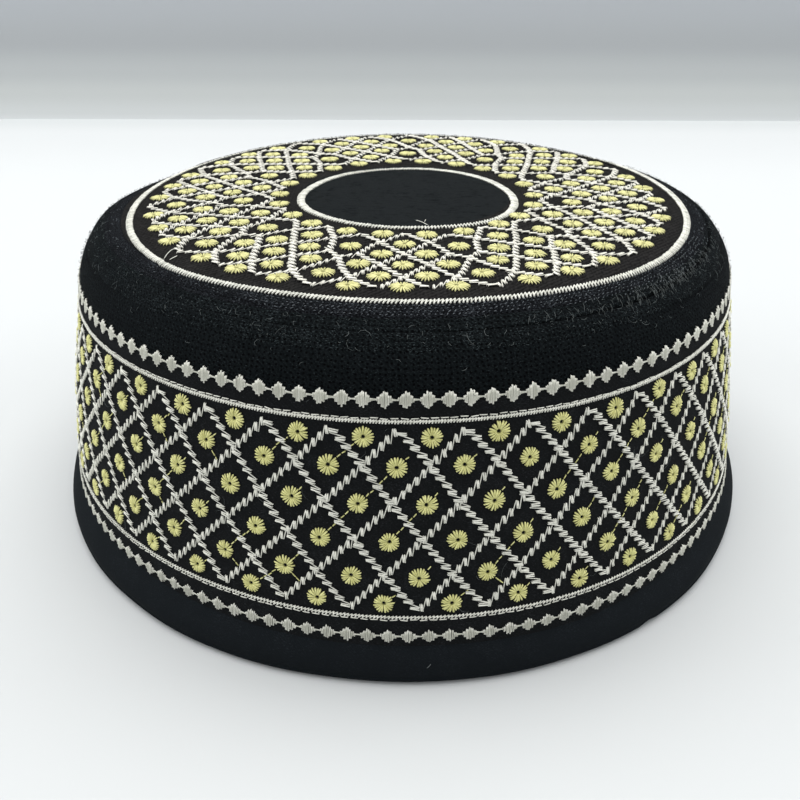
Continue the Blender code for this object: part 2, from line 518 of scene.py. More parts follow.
def ply_group():
    """The twist of a two-ply thread, each thread's own tone, and painted shade between its plies, along its
    sides and over a long thread's middle.
    """
    twist_round = 2.0  # how steeply the plies wind round the thread
    own_shade = 0.55  # how much darker one thread may be than another
    ply_shade = 0.20
    valley_power = 3.5  # how narrow the painted shade along a thread's sides is
    tree, given, made = new_group(
        "thread_ply",
        (
            ("Lie", "Vector", None),
            ("Twists per mm", "Float", 1.6),
            ("Thread", "Color", None),
            ("Shadow", "Color", None),
            ("Valley", "Float", 0.92),
            ("Contour", "Float", 0.85),
            ("Wear", "Float", 0.30),
        ),
        (("Color", "Color"), ("Height", "Float")),
    )
    parts = add_node(tree, "ShaderNodeSeparateXYZ", {0: given["Lie"]}).outputs
    winding = calc(tree, "MULTIPLY", parts[0], twist_round)
    twist = calc(tree, "MULTIPLY_ADD", parts[1], given["Twists per mm"], winding)
    wave = calc(tree, "MULTIPLY_ADD", calc(tree, "SINE", calc(tree, "MULTIPLY", twist, TAU)), 0.5, 0.5)
    strand = add_node(tree, "ShaderNodeAttribute", attribute_name="strand").outputs["Fac"]
    # painted shade over a long thread's middle, which leaves its ends as painted highlights
    end = add_node(tree, "ShaderNodeAttribute", attribute_name="thread_end").outputs["Fac"]
    middle_shaded = calc(tree, "MULTIPLY", calc(tree, "SUBTRACT", 1.0, end), given["Wear"])
    # each thread's own tone, and painted shade between the plies along the twist
    shade = calc(tree, "MULTIPLY_ADD", strand, own_shade, calc(tree, "MULTIPLY", wave, ply_shade))
    share = calc(tree, "MINIMUM", calc(tree, "ADD", shade, middle_shaded), 1.0)
    plain = blend_colours(tree, share, given["Thread"], given["Shadow"])
    # painted shade along each thread's sides, turning black where it meets the cloth and its neighbours
    off_top = calc(tree, "ABSOLUTE", calc(tree, "SUBTRACT", parts[0], THREAD_TOP))
    sides = calc(tree, "POWER", calc(tree, "DIVIDE", off_top, THREAD_TOP), valley_power)
    valley = calc(tree, "MINIMUM", calc(tree, "MULTIPLY", sides, given["Valley"]), 1.0)
    dark = blend_colours(tree, given["Contour"], given["Shadow"], (0.0, 0.0, 0.0, 1.0))
    tree.links.new(blend_colours(tree, valley, plain, dark), made["Color"])
    tree.links.new(wave, made["Height"])
    return tree


TWILL = twill_group()
FIBRES = fibre_group()
HOLES = hole_group()
PLY = ply_group()


# Finishes


def new_material(name, roughness, specular):
    material = bpy.data.materials.new(name)
    material.use_nodes = True
    tree = material.node_tree
    shader = tree.nodes["Principled BSDF"]
    shader.inputs["Roughness"].default_value = roughness
    shader.inputs["Specular IOR Level"].default_value = specular
    return material, tree, shader


def lie_of(tree):
    return add_node(tree, "ShaderNodeUVMap", uv_map="cloth_lie").outputs[0]


def use_group(tree, group, **values):
    node = tree.nodes.new("ShaderNodeGroup")
    node.node_tree = group
    for key, value in values.items():
        socket = node.inputs[key.replace("_", " ")]
        if isinstance(value, bpy.types.NodeSocket):
            tree.links.new(value, socket)
        else:
            socket.default_value = value
    return node.outputs


PLY_DEPTH = 0.00005
PLY_RELIEF = 0.35


def thread_material(
    name, thread, shadow, valley=0.92, contour=0.85, middle_shade=0.30, roughness=0.48, specular=0.18
):
    """Thread in its own colour, with a duller shadow colour between its plies.

    valley is how much shade is painted along a thread's sides and contour how black that painted
    shade is. The value after them is how much shade is painted over a long thread's middle, which
    leaves its ends as painted highlights.
    """
    material, tree, shader = new_material(name, roughness, specular)
    colours = {"Thread": (*thread, 1.0), "Shadow": (*shadow, 1.0)}
    ply = use_group(tree, PLY, Lie=lie_of(tree), Valley=valley, Contour=contour, Wear=middle_shade, **colours)
    relief = bump(tree, ply["Height"], PLY_DEPTH, strength=PLY_RELIEF)
    tree.links.new(ply["Color"], shader.inputs["Base Color"])
    tree.links.new(relief, shader.inputs["Normal"])
    return material


CLOTH_ROUGHNESS = 0.85
HOLE_DEPTH = 0.00006
# painted shade in the needle holes, and in the folds below
HOLE_SHADE_COLOUR = (0.0008, 0.0008, 0.0010, 1.0)
FOLD_SHADE_COLOUR = (0.0006, 0.0006, 0.0008, 1.0)
FOLD_SHARE = 0.85  # how much painted shade darkens the cloth where it is drawn in most


def cloth_material(name, dark, light, lint_colour, threads, depths, lint, specular, holes=0.0):
    """Black cloth: a weave below, matted fibres over it, lint, needle holes, and painted shade in its
    grooves, holes and folds.

    dark and light are the colours of the weave's painted shade, in its grooves and on its ribs,
    threads its threads for each metre, and depths the relief of weave and fibres. lint holds specks
    for each metre, how much lint, how crisp it is and how patchy. holes is how much shade is painted
    in the needle holes.
    """
    material, tree, shader = new_material(name, CLOTH_ROUGHNESS, specular)
    lie = lie_of(tree)
    weave = use_group(tree, TWILL, Lie=lie, Threads_per_Metre=threads)
    fibres = use_group(
        tree, FIBRES, Lie=lie, Specks_per_Metre=lint[0], Lint=lint[1], Contrast=lint[2], Patches=lint[3]
    )
    shade = blend_colours(tree, weave["Shade"], (*dark, 1.0), (*light, 1.0))
    linty = blend_colours(tree, fibres["Lint Mask"], shade, (*lint_colour, 1.0))
    relief = bump(tree, weave["Height"], depths[0])
    relief = bump(tree, fibres["Height"], depths[1], relief)
    if holes > 0.0:
        hole = use_group(tree, HOLES, Lie=lie)["Hole"]
        linty = blend_colours(tree, calc(tree, "MULTIPLY", hole, holes), linty, HOLE_SHADE_COLOUR)
        relief = bump(tree, calc(tree, "SUBTRACT", 1.0, hole), HOLE_DEPTH, relief)
    # painted shade where the cloth is drawn in at folds, wrinkles and quilting rows
    deep = add_node(tree, "ShaderNodeAttribute", attribute_name="drawn_in").outputs["Fac"]
    finished = blend_colours(tree, calc(tree, "MULTIPLY", deep, FOLD_SHARE), linty, FOLD_SHADE_COLOUR)
    tree.links.new(finished, shader.inputs["Base Color"])
    tree.links.new(relief, shader.inputs["Normal"])
    return material


CROWN_TWILL = cloth_material(
    "crown_twill",
    dark=(0.0036, 0.0034, 0.0034),
    light=(0.0180, 0.0172, 0.0165),
    lint_colour=(0.038, 0.036, 0.034),
    threads=1300.0,
    depths=(0.00003, 0.00006),
    lint=(1900.0, 0.42, 4.0, 0.50),
    specular=0.03,
)
CENTRE_CLOTH = cloth_material(
    "centre_cloth",
    dark=(0.0074, 0.0089, 0.0094),
    light=(0.0108, 0.0130, 0.0136),
    lint_colour=(0.0030, 0.0042, 0.0047),
    threads=2700.0,
    depths=(0.00001, 0.00005),
    lint=(450.0, 0.45, 6.0, 0.60),
    specular=0.03,
)
RING_SIDE_CLOTH = cloth_material(
    "ring_side_cloth",
    dark=(0.0026, 0.0030, 0.0038),
    light=(0.0072, 0.0082, 0.0096),
    lint_colour=(0.078, 0.088, 0.099),
    threads=1700.0,
    depths=(0.00003, 0.00010),
    lint=(2500.0, 0.425, 7.0, 0.18),
    specular=0.02,
    holes=0.85,
)
LOWER_SHOULDER_CLOTH = cloth_material(
    "lower_shoulder_cloth",
    dark=(0.0030, 0.0040, 0.0046),
    light=(0.0066, 0.0086, 0.0094),
    lint_colour=(0.040, 0.050, 0.053),
    threads=1700.0,
    depths=(0.00003, 0.00008),
    lint=(2500.0, 0.395, 6.0, 0.12),
    specular=0.02,
    holes=0.95,
)
SHOULDER_CLOTH = cloth_material(
    "shoulder_cloth",
    dark=(0.0020, 0.0028, 0.0032),
    light=(0.0058, 0.0076, 0.0082),
    lint_colour=(0.060, 0.074, 0.078),
    threads=1700.0,
    depths=(0.00003, 0.00010),
    lint=(2500.0, 0.420, 6.0, 0.18),
    specular=0.02,
    holes=0.9,
)
WALL_CLOTH = cloth_material(
    "wall_cloth",
    dark=(0.0066, 0.0072, 0.0076),
    light=(0.0084, 0.0092, 0.0098),
    lint_colour=(0.026, 0.028, 0.030),
    threads=2000.0,
    depths=(0.00001, 0.00005),
    lint=(2400.0, 0.44, 6.0, 0.3),
    specular=0.04,
)
HEM_CLOTH = cloth_material(
    "hem_cloth",
    dark=(0.0068, 0.0086, 0.0102),
    light=(0.0088, 0.0110, 0.0128),
    lint_colour=(0.024, 0.029, 0.033),
    threads=3900.0,
    depths=(0.000003, 0.00005),
    lint=(2300.0, 0.43, 3.0, 0.3),
    specular=0.04,
)
# The crown's white, the rings' thread and the crown's yellow are darker copies of the wall's threads: painted
# shade on the crown, which the top light lights more than the wall.
WHITE_THREAD = thread_material("white_thread_finish", (1.0, 0.99, 0.89), (0.61, 0.61, 0.53))
CROWN_WHITE = thread_material("crown_white_finish", (0.95, 0.93, 0.83), (0.54, 0.52, 0.45))
RING_THREAD = thread_material("ring_thread_finish", (0.93, 0.92, 0.83), (0.45, 0.45, 0.39), 0.75, 0.8, 0.2)
SATIN_THREAD = thread_material("satin_thread_finish", (0.98, 0.97, 0.88), (0.56, 0.56, 0.48), 0.42, 0.5, 0.55)
YELLOW_THREAD = thread_material("yellow_thread_finish", (0.87, 0.85, 0.40), (0.56, 0.54, 0.20), 0.85, 0.45)
CROWN_YELLOW = thread_material("crown_yellow_finish", (0.82, 0.79, 0.39), (0.46, 0.44, 0.18), 0.80, 0.60)
DULL = {"roughness": 0.9, "specular": 0.02}
BLACK_THREAD = thread_material("black_thread_finish", (0.006, 0.007, 0.008), (0.002, 0.0025, 0.003), **DULL)
# the shoulder's black quilting thread in grey: a painted highlight where it catches the light
GREY_THREAD = thread_material("grey_thread_finish", (0.20, 0.22, 0.235), (0.03, 0.034, 0.038), **DULL)
FIBRE_HAIR = thread_material("fibre_hair_finish", (0.25, 0.275, 0.27), (0.04, 0.045, 0.042), **DULL)


# Cloth

QUILT_ROWS = (  # places along the cloth: first, last, count, depth
    (0.0721, 0.0771, 7, 0.00006),
    (0.0800, 0.0896, 9, 0.00005),
)
QUILT_WIDTH = 0.00028  # of the groove that each row draws
RING_SIDE_LAST = 0.0752  # the shoulder's cloth is bluer from the ring as far as this
ROUGH_LAST = 0.0818  # and smoother after this
FINE_QUILTING = 0.0780  # the rows nearer to the crown than this have stitches in grey, a painted highlight on black thread
ROWS_DIP = 0.00014  # how deep the cloth is drawn in where the fine stitches end
WRINKLE_WIDTH = 0.00040
WRINKLES = (  # turn and spread in degrees, place along the cloth, depth
    (51.0, 15.0, 0.0826, 0.00026),
    (78.0, 12.0, 0.0812, 0.00030),
    (-62.0, 16.0, 0.0825, 0.00020),
)
FOLD = (  # the fold round the shoulder: turn in degrees, place along the cloth
    (-180.0, 0.0770),
    (-60.0, 0.0776),
    (0.0, 0.0786),
    (35.0, 0.0785),
    (47.0, 0.0779),
    (57.0, 0.0774),
    (68.0, 0.0772),
    (77.0, 0.0766),
    (100.0, 0.0764),
    (180.0, 0.0770),
)
ROWS_END = (  # where the rows of fine stitches end: turn in degrees, place along the cloth
    (-180.0, 0.0745),
    (-40.0, 0.0742),
    (-23.0, 0.0748),
    (0.0, 0.0753),
    (20.0, 0.0752),
    (31.0, 0.0760),
    (47.0, 0.0775),
    (68.0, 0.0769),
    (100.0, 0.0760),
    (140.0, 0.0745),
    (180.0, 0.0745),
)
FOLD_DEPTH = 0.00010
FOLD_WIDTH = 0.00036
SHARP_DEPTH = 0.00070  # how much deeper the fold is at the right, where it is sharp
SHARP_MIDDLE = math.radians(64)
SHARP_SPREAD = math.radians(34)
ROLL_HEIGHT = 0.00018  # the cloth swells a little below the fold
ROLL_PLACE = 0.0021
ROLL_WIDTH = 0.0016
FULLY_DRAWN = 0.00060  # the depth at which the painted shade of the folds is darkest


def quilt_places():
    places = []
    for first, last, count, depth in QUILT_ROWS:
        for place in np.linspace(first, last, count):
            places.append((place, depth))
    return places


def cloth_lift(along, turn):
    """How far the cloth stands out below its fold, and is drawn in at stitches, fold and wrinkles."""
    lift = np.zeros(np.shape(turn))
    for place, depth in quilt_places():
        lift = lift - depth * hump(along - place, QUILT_WIDTH)
    fold = read_round(FOLD, turn)
    sharp = hump(angle_between(turn, SHARP_MIDDLE), SHARP_SPREAD)
    lift = lift + ROLL_HEIGHT * hump(along - fold - ROLL_PLACE, ROLL_WIDTH)
    lift = lift - (FOLD_DEPTH + SHARP_DEPTH * sharp) * hump(along - fold, FOLD_WIDTH)
    lift = lift - ROWS_DIP * hump(along - read_round(ROWS_END, turn), FOLD_WIDTH)
    for middle, spread, place, depth in WRINKLES:
        beside = hump(angle_between(turn, math.radians(middle)), math.radians(spread))
        lift = lift - depth * beside * hump(along - place, WRINKLE_WIDTH)
    return lift


def cloth_ring(along, lift=None):
    """One ring of the cloth's outer side, or at a fixed depth below it."""

    def ring(turns):
        raised = cloth_lift(along, turns) if lift is None else lift
        return on_cap(turns, np.full(turns.shape, along), raised)

    return ring


def cloth_depth(along):
    """How deep one ring of the cloth is drawn in, from 0 to 1."""

    def depth(turns):
        return np.clip(-cloth_lift(along, turns) / FULLY_DRAWN, 0.0, 1.0)

    return depth


def no_depth(turns):
    return np.zeros(turns.shape)


def lie_polar(places):
    """Coordinates in metres round and along the cloth."""

    def lie(k, i):
        place = places[k % len(places)]
        return (i * TAU / ROUND_STEPS * WALL_MEAN_RADIUS, place)

    return lie


def shell(name, outside, inside, finishes, material_of, lie, replaced):
    """A closed shell: rings down the outer side of the cloth and back up its inner side."""
    rows = [cloth_ring(place) for place in outside] + [cloth_ring(place, -CLOTH) for place in inside]
    drawn = [cloth_depth(place) for place in outside] + [no_depth for place in inside]
    piece = turned_sheet(name, rows, finishes, material_of, lie, True, drawn)
    return finish_piece(piece, replaced)


WALL_MEAN_RADIUS = 0.085
EDGE_MEAN_RADIUS = 0.075
AXIS_HOLE = 0.00002  # where the crown's first ring lies, too small to see
CROWN_DISC = (AXIS_HOLE, 0.0274, 14)  # first and last place along the cloth, and how many rings
CROWN_FIELD = (0.0280, 0.0710, 30)
CROWN_EDGE = (0.0713, SEAM, 32)
CROWN_INSIDE_EDGE = (SEAM, 0.0660, 8)
CROWN_INSIDE_FIELD = (0.050, 0.025, AXIS_HOLE)  # one ring at each of these places
SEAM_GAP = 0.00003
WALL_FOOT = 0.0012  # height of the wall's lower edge, in the hem's fold
WALL_BEND = (SEAM + SEAM_GAP, 0.0900, 46)
WALL_SIDE = (0.0908, float(along_at(WALL_FOOT)), 62)
WALL_INSIDE = (WALL_SIDE[1], WALL_BEND[0], 16)


def crown_cloth():
    disc = np.linspace(*CROWN_DISC)
    field = np.linspace(*CROWN_FIELD)
    outside = np.concatenate((disc, field, np.linspace(*CROWN_EDGE)))
    inside = np.concatenate((np.linspace(*CROWN_INSIDE_EDGE), CROWN_INSIDE_FIELD))
    places = list(outside) + list(inside)
    field_start = len(disc)
    edge_start = len(disc) + len(field)

    def material_of(k):
        if k < field_start - 1:
            return 0
        if k < edge_start - 1:
            return 1
        if k < len(outside) - 1:
            return 2 if places[k] < RING_SIDE_LAST else 3
        return 1

    def lie(k, i):
        place = places[k % len(places)]
        turn = i * TAU / ROUND_STEPS
        if k >= edge_start:
            return (turn * EDGE_MEAN_RADIUS, place)
        return (place * math.sin(turn), -place * math.cos(turn))

    finishes = (CENTRE_CLOTH, CROWN_TWILL, RING_SIDE_CLOTH, SHOULDER_CLOTH)
    return shell("crown_cloth", outside, inside, finishes, material_of, lie, ("crown_panel",))


def wall_cloth():
    bend = np.linspace(*WALL_BEND)
    outside = np.concatenate((bend, np.linspace(*WALL_SIDE)))
    inside = np.linspace(*WALL_INSIDE)
    places = list(outside) + list(inside)

    def material_of(k):
        if k < len(bend) - 1:
            return 0 if places[k] < ROUGH_LAST else 1
        return 2

    finishes = (SHOULDER_CLOTH, LOWER_SHOULDER_CLOTH, WALL_CLOTH)
    return shell("wall_cloth", outside, inside, finishes, material_of, lie_polar(places), ("side_wall",))


HEM_SHAPE = (  # height, and how far short of HEM_RADIUS
    (0.0096, 0.00245),
    (0.0090, 0.00205),
    (0.0078, 0.00125),
    (0.0062, 0.00050),
    (0.0045, 0.00008),
    (0.0030, 0.00000),
    (0.0021, 0.00022),
    (0.0017, 0.00030),
    (0.0012, 0.00012),
    (0.0006, 0.00040),
    (0.0002, 0.00095),
    (0.0000, 0.00160),
)
HEM_WAVES = ((4, 0.00010, 1.0), (11, 0.00007, 0.0), (23, 0.00004, 2.0))  # count, size, phase
HEM_WAVES_FADE = (0.0010, 0.0024)  # how far short of HEM_RADIUS the waves fade out
HEM_SQUARE = 0.00050  # how much fuller the foot is between its front, sides and back
HEM_SQUARE_FADE = (0.0035, 0.0088)  # heights between which it takes the wall's own form again
NOTCH_TURN = math.radians(35)  # a place at the right where the foot is lifted a little
NOTCH_RISE = 0.0006
NOTCH_SPREAD = 0.012
NOTCH_HEIGHT = 0.004
HEM_INNER = (  # height and how far inside the wall's outer line
    (0.0, 0.0035),
    (0.004, 0.0035),
    (0.010, 0.0035),
    (HEM_INSIDE_TOP, 0.0035),
    (HEM_INSIDE_TOP, 0.0026),
)


def hem_ring(height, short):
    """One ring of the hem, at this height and this far short of HEM_RADIUS."""

    def ring(turns):
        wave = sum(size * np.sin(count * turns + phase) for count, size, phase in HEM_WAVES)
        low = 1.0 - smooth(height, 0.0, NOTCH_HEIGHT)
        notch = NOTCH_RISE * low * hump(turns - NOTCH_TURN, NOTCH_SPREAD)
        radius = HEM_RADIUS - short + wave * (1.0 - smooth(short, *HEM_WAVES_FADE))
        fuller = 1.0 - smooth(height, *HEM_SQUARE_FADE)
        square = HEM_SQUARE * (1.0 - fuller * (1.0 - np.cos(4 * turns)))
        radius = radius * (1.0 + WALL_OVAL * np.cos(2 * turns) - WALL_SHRINK) - square
        z = height + notch
        return np.stack((radius * np.sin(turns), -radius * np.cos(turns), z), axis=-1)

    return ring


def hem_cloth_band():
    steps = [np.array(pair) for pair in HEM_SHAPE]
    fine = []
    for here, after in zip(steps, steps[1:]):
        fine.extend(here + (after - here) * share for share in (0.0, 0.5))
    fine.append(steps[-1])
    rows = [hem_ring(height, short) for height, short in fine]
    places = [FOOT - height for height, _ in fine]
    for height, depth in HEM_INNER:
        rows.append(hem_ring(height, HEM_RADIUS - float(wall_radius(height)) + depth))
        places.append(FOOT + height)
    piece = turned_sheet("hem_cloth_band", rows, (HEM_CLOTH,), lambda k: 0, lie_polar(places), closed=True)
    return finish_piece(piece, ("hem_band",))


# Satin borders


SATIN_TAPER = 0.00014
SATIN_UNEVEN = 0.00003
SATIN_PADDED = 0.85  # how full a wide border is near its edges
PADDED_FROM = 0.001  # borders wider than this lie over padding
BACK_REACH = 0.9  # how far up the border each thread back goes
BACK_BELOW = 0.00001


def zigzag_border(
    name, centre, material, replaced, teeth, width, slant, lift, tooth, thread, share, ragged, swell=0.0
):
    """A satin border: thick stitches side by side that end in teeth, and a thread back below each.

    centre gives (turn, along) of the border's middle for an array of angles. slant is a table of
    turns in degrees and how far a stitch leans there, in mm. tooth is how wide each stitch is and
    thread how wide the thread back. share is the part of the width that is teeth, ragged how
    uneven the edges are, and swell how much wider the border is at the sides.
    """
    angles = np.arange(teeth) * TAU / teeth
    turn, along = centre(angles)
    after_turn, after_along = centre(angles + TAU / teeth)
    half = width / 2 * (1.0 - swell * np.cos(2 * angles))
    lean = read_round(slant, angles) * MM / 2
    rough = chance.normal(0.0, ragged, (4, teeth))
    top = np.column_stack(shift(turn, along, lean + rough[0], half + rough[1]))
    foot = 2 * share - 1
    low = np.column_stack(shift(turn, along, foot * lean, foot * half))
    tip = np.column_stack(shift(turn, along, -lean + rough[2], -half + rough[3]))
    right, up = np.roll(rough[:2], -1, axis=1)
    after = np.column_stack(shift(after_turn, after_along, lean + right, BACK_REACH * half + up))
    rise = lift + chance.normal(0.0, SATIN_UNEVEN, teeth)
    padded = SATIN_PADDED if width > PADDED_FROM else None
    there = stitch_rows(top, tip, rise, tooth, padded, SATIN_TAPER)
    back = stitch_rows(low, after, rise - BACK_BELOW, thread, padded, SATIN_TAPER)
    piece = make_threads(name, *join_rows((there, back)), material)
    return finish_piece(piece, (replaced,))


RING_WAVERS = 7


def ring_on_crown(radius, centre_x, centre_y, sway, waver=0.00005, join_turn=0.0, join_step=0.0):
    """The middle of a ring that starts at join_turn and comes back there join_step further in.

    sway holds turns in degrees and how far out the ring swings there, in mm, and waver is the
    size of its RING_WAVERS small waves.
    """

    def centre(angles):
        swung = read_round(sway, angles) * MM
        size = radius + swung + waver * np.sin(RING_WAVERS * angles)
        size = size + join_step * (0.5 - np.mod(angles - join_turn, TAU) / TAU)
        x = centre_x + size * np.sin(angles)
        y = centre_y - size * np.cos(angles)
        flat = np.hypot(x, y)
        turn = angles + angle_between(np.arctan2(x, -y), angles)
        return turn, np.where(flat < ARC_CENTRE, flat, bent_along(flat))

    return centre


def bent_along(radius):
    """Along the cloth at a radius on the upper shoulder."""
    share = np.clip((radius - ARC_CENTRE) / SHOULDER_RADIUS, 0.0, 1.0)
    return ARC_CENTRE + SHOULDER_RADIUS * np.arcsin(share)


LINE_WAVES = ((3, 1.0, 2.0), (8, 0.6, 0.0))  # count, share of the waver, phase


def line_on_wall(height, waver=0.00012):
    """The middle of a line round the wall, with small waves."""

    def centre(angles):
        wave = sum(waver * share * np.sin(count * angles + phase) for count, share, phase in LINE_WAVES)
        return angles, along_at(height + wave)

    return centre


DASH_LIFT = 0.00016
DASH_TURN_UNEVEN = 0.0006
DASH_UNEVEN = 0.00007


def running_stitch(count, length, height, waver, width):
    """The threads of a row of dashes round the wall."""
    angles = np.arange(count) * TAU / count + chance.normal(0.0, DASH_TURN_UNEVEN, count)
    turn, along = line_on_wall(height, waver)(angles)
    rough = chance.normal(0.0, DASH_UNEVEN, (2, count))
    starts = np.column_stack(shift(turn, along, -length / 2, rough[0]))
    ends = np.column_stack(shift(turn, along, length / 2, rough[1]))
    return stitch_rows(starts, ends, DASH_LIFT, width)


RING_JOIN = math.radians(-47.5)
OUTER_SLANT = (  # turn in degrees and how far a stitch leans to the right at its upper end, in mm
    (-180, 0.4), (-90, -0.3), (-60, -0.85), (-45, -0.83), (-30, -0.35), (-20, 0.0), (-10, 0.35), (0, 0.50),
    (15, 0.38), (40, 0.74), (60, 0.75), (120, 0.5), (180, 0.4),
)
INNER_SLANT = ((-180, 0.5), (-90, -0.3), (-45, -0.5), (-10, 0.30), (10, 0.40), (45, 0.7), (180, 0.5))
CORD_SLANT = ((-180, 0.22), (180, 0.22))
OUTER_SWAY = (  # turn in degrees and mm outwards, where a ring isn't round
    (-180, 0.0), (-115, -0.85), (-90, -0.90), (-80, -0.58), (-70, -0.12), (-60, 0.36), (-50, 0.86),
    (-40, 0.78), (-30, 0.40), (-20, 0.0), (18, 0.05), (30, 0.36), (40, 0.74), (50, 0.58), (60, 0.02),
    (70, -0.28), (85, -0.34), (105, -0.10), (180, 0.0),
)
INNER_SWAY = (
    (-180, -1.40), (-150, -0.98), (-120, -0.88), (-105, -0.74), (-90, -0.25), (-75, 0.08), (-60, -0.25),
    (-48, -0.85), (-36, -1.20), (-12, -1.38), (6, -1.45), (15, -1.20), (24, -0.40), (36, 0.52), (48, 1.12),
    (60, 0.72), (72, 0.26), (84, -0.42), (96, -0.96), (108, -1.46), (120, -1.48), (144, -1.22), (168, -1.25),
    (180, -1.40),
)


def crown_borders():
    outer = ring_on_crown(
        0.07006, 0.00084, -0.00059, OUTER_SWAY, waver=0.00006, join_turn=RING_JOIN, join_step=0.00030
    )
    inner = ring_on_crown(0.02754, 0.00103, -0.00171, INNER_SWAY)
    zigzag_border(
        "crown_outer_satin",
        outer,
        RING_THREAD,
        "crown_outer_ring",
        teeth=560,
        width=0.00176,
        slant=OUTER_SLANT,
        lift=0.00020,
        tooth=0.00044,
        thread=0.00036,
        share=0.30,
        ragged=0.00004,
    )
    zigzag_border(
        "crown_inner_satin",
        inner,
        RING_THREAD,
        "crown_inner_ring",
        teeth=212,
        width=0.00208,
        slant=INNER_SLANT,
        lift=0.00018,
        tooth=0.00046,
        thread=0.00036,
        share=0.26,
        ragged=0.00005,
        swell=0.09,
    )


CORD = {  # what the two cord lines have in common
    "width": 0.00094,
    "slant": CORD_SLANT,
    "tooth": 0.00033,
    "thread": 0.00028,
    "share": 0.34,
    "ragged": 0.00003,
}


def wall_borders():
    upper = line_on_wall(0.05708)
    lower = line_on_wall(0.01582)
    zigzag_border("upper_cord_satin", upper, SATIN_THREAD, "upper_cord_line", 930, lift=0.00018, **CORD)
    zigzag_border("lower_cord_satin", lower, SATIN_THREAD, "lower_cord_line", 780, lift=0.00020, **CORD)
    dashes = (
        running_stitch(count=287, length=0.00168, height=0.05766, waver=0.00024, width=0.00025),
        running_stitch(count=292, length=0.00172, height=0.01520, waver=0.00018, width=0.00030),
    )
    finish_piece(make_threads("cord_running_stitches", *join_rows(dashes), WHITE_THREAD))


UPPER_CHAIN = {
    "count": 127,
    "height": 0.0614,
    "phase": 0.07,
    "drift": 0.0155,  # how far the diamonds draw together at the front, in turns
    "stagger": 0.00011,  # each thread stands higher or lower than the next
    "sink": 0.0,  # how far the right half of each diamond hangs
    "thread": 0.00036,
    "threads": (  # each upright thread of one diamond, in mm: place from the middle and half height
        (-1.34, 0.40), (-1.04, 0.76), (-0.75, 1.08), (-0.46, 1.36), (-0.15, 1.58),
        (0.15, 1.60), (0.46, 1.36), (0.75, 1.06), (1.04, 0.74), (1.34, 0.38),
    ),
}
LOWER_CHAIN = {
    "count": 141,
    "height": 0.0114,
    "phase": 0.23,
    "drift": 0.0,
    "stagger": 0.00012,
    "sink": 0.00010,
    "thread": 0.00033,
    "threads": (
        (-1.34, 0.34), (-1.05, 0.62), (-0.76, 0.90), (-0.46, 1.16), (-0.14, 1.42),
        (0.20, 1.36), (0.56, 1.10), (0.92, 0.84), (1.26, 0.56), (1.56, 0.34),
    ),
}
CHAIN_WAVER = 0.00010
CHAIN_LEAN = 0.06  # mm that each end of a thread stands left or right
CHAIN_UNEVEN = 0.00003
CHAIN_SIZES = 0.05  # share by which the threads' heights differ
CHAIN_RIGHT = 0.4  # mm: the threads further right than this hang
CHAIN_LIFT = (0.00016, 0.00012)  # the least lift, and how much more a diamond's middle has
CHAIN_FULL = 1.6  # half height with the most lift, in mm
CHAIN_PADDED = 0.9
CHAIN_TAPER = 0.00008
NECK_RISE = 0.00013  # two threads cross between one diamond and the next
NECK_START = 0.0012
NECK_UNEVEN = 0.00004
NECK_ARRIVE = (-0.5, 1.2)  # where they arrive, as shares of NECK_RISE on the other side
NECK_LIFT = 0.00014
NECK_THREAD = 0.00027


def diamond_border(name, chain, replaced):
    """A row of satin diamonds: upright threads side by side, joined by thin necks."""
    count = chain["count"]
    even = (np.arange(count) + chain["phase"]) * TAU / count
    angles = even - chain["drift"] * np.sin(3 * even)
    turn, along = line_on_wall(chain["height"], CHAIN_WAVER)(angles)
    rows = []
    for number, (place, half) in enumerate(chain["threads"]):
        rough = chance.normal(0.0, CHAIN_UNEVEN, (4, count))
        hang = chain["sink"] if place > CHAIN_RIGHT else 0.0
        rough[1::2] += chain["stagger"] * (-1) ** number - hang
        size = half * MM * (1.0 + chance.normal(0.0, CHAIN_SIZES, count))
        starts = np.column_stack(shift(turn, along, (place - CHAIN_LEAN) * MM + rough[0], -size + rough[1]))
        ends = np.column_stack(shift(turn, along, (place + CHAIN_LEAN) * MM + rough[2], size + rough[3]))
        lift = CHAIN_LIFT[0] + CHAIN_LIFT[1] * half / CHAIN_FULL
        rows.append(stitch_rows(starts, ends, lift, chain["thread"], CHAIN_PADDED, CHAIN_TAPER))
    after_turn = np.roll(turn, -1)
    after_turn[-1] += TAU
    after_along = np.roll(along, -1)
    for rise in (-NECK_RISE, NECK_RISE):
        leave = rise + chance.normal(0.0, NECK_UNEVEN, count)
        arrive = -rise * chance.uniform(*NECK_ARRIVE, count)
        starts = np.column_stack(shift(turn, along, NECK_START, leave))
        ends = np.column_stack(shift(after_turn, after_along, -NECK_START, arrive))
        rows.append(stitch_rows(starts, ends, NECK_LIFT, NECK_THREAD, 1.0))
    piece = make_threads(name, *join_rows(rows), SATIN_THREAD)
    return finish_piece(piece, (replaced,))


# Flowers

WALL_COLUMNS = 42
WALL_FLOWER_ROWS = (  # height, shift in columns, half a column over
    (0.05414, -0.094, 0.5),
    (0.04819, -0.112, 0.0),
    (0.04062, -0.177, 0.5),
    (0.03282, -0.230, 0.0),
    (0.02523, -0.277, 0.5),
    (0.01914, -0.298, 0.0),
)

CROWN_SECTORS = 11
CROWN_START = math.radians(-0.943)
CROWN_MIDDLE = (0.00065, 0.00000)
CROWN_SCALE = 0.984
CROWN_FLOWERS = (  # radius, angles in degrees from the sector's middle
    (0.0335, (-8.88, 8.88)),
    (0.0397, (0.0,)),
    (0.0428, (16.36,)),
    (0.0465, (-6.04, 6.04)),
    (0.0529, (-10.36, 0.0, 10.36)),
    (0.0593, (-4.7, 4.7, 16.36)),
    (0.0650, (-9.66, 0.0, 9.66)),
)

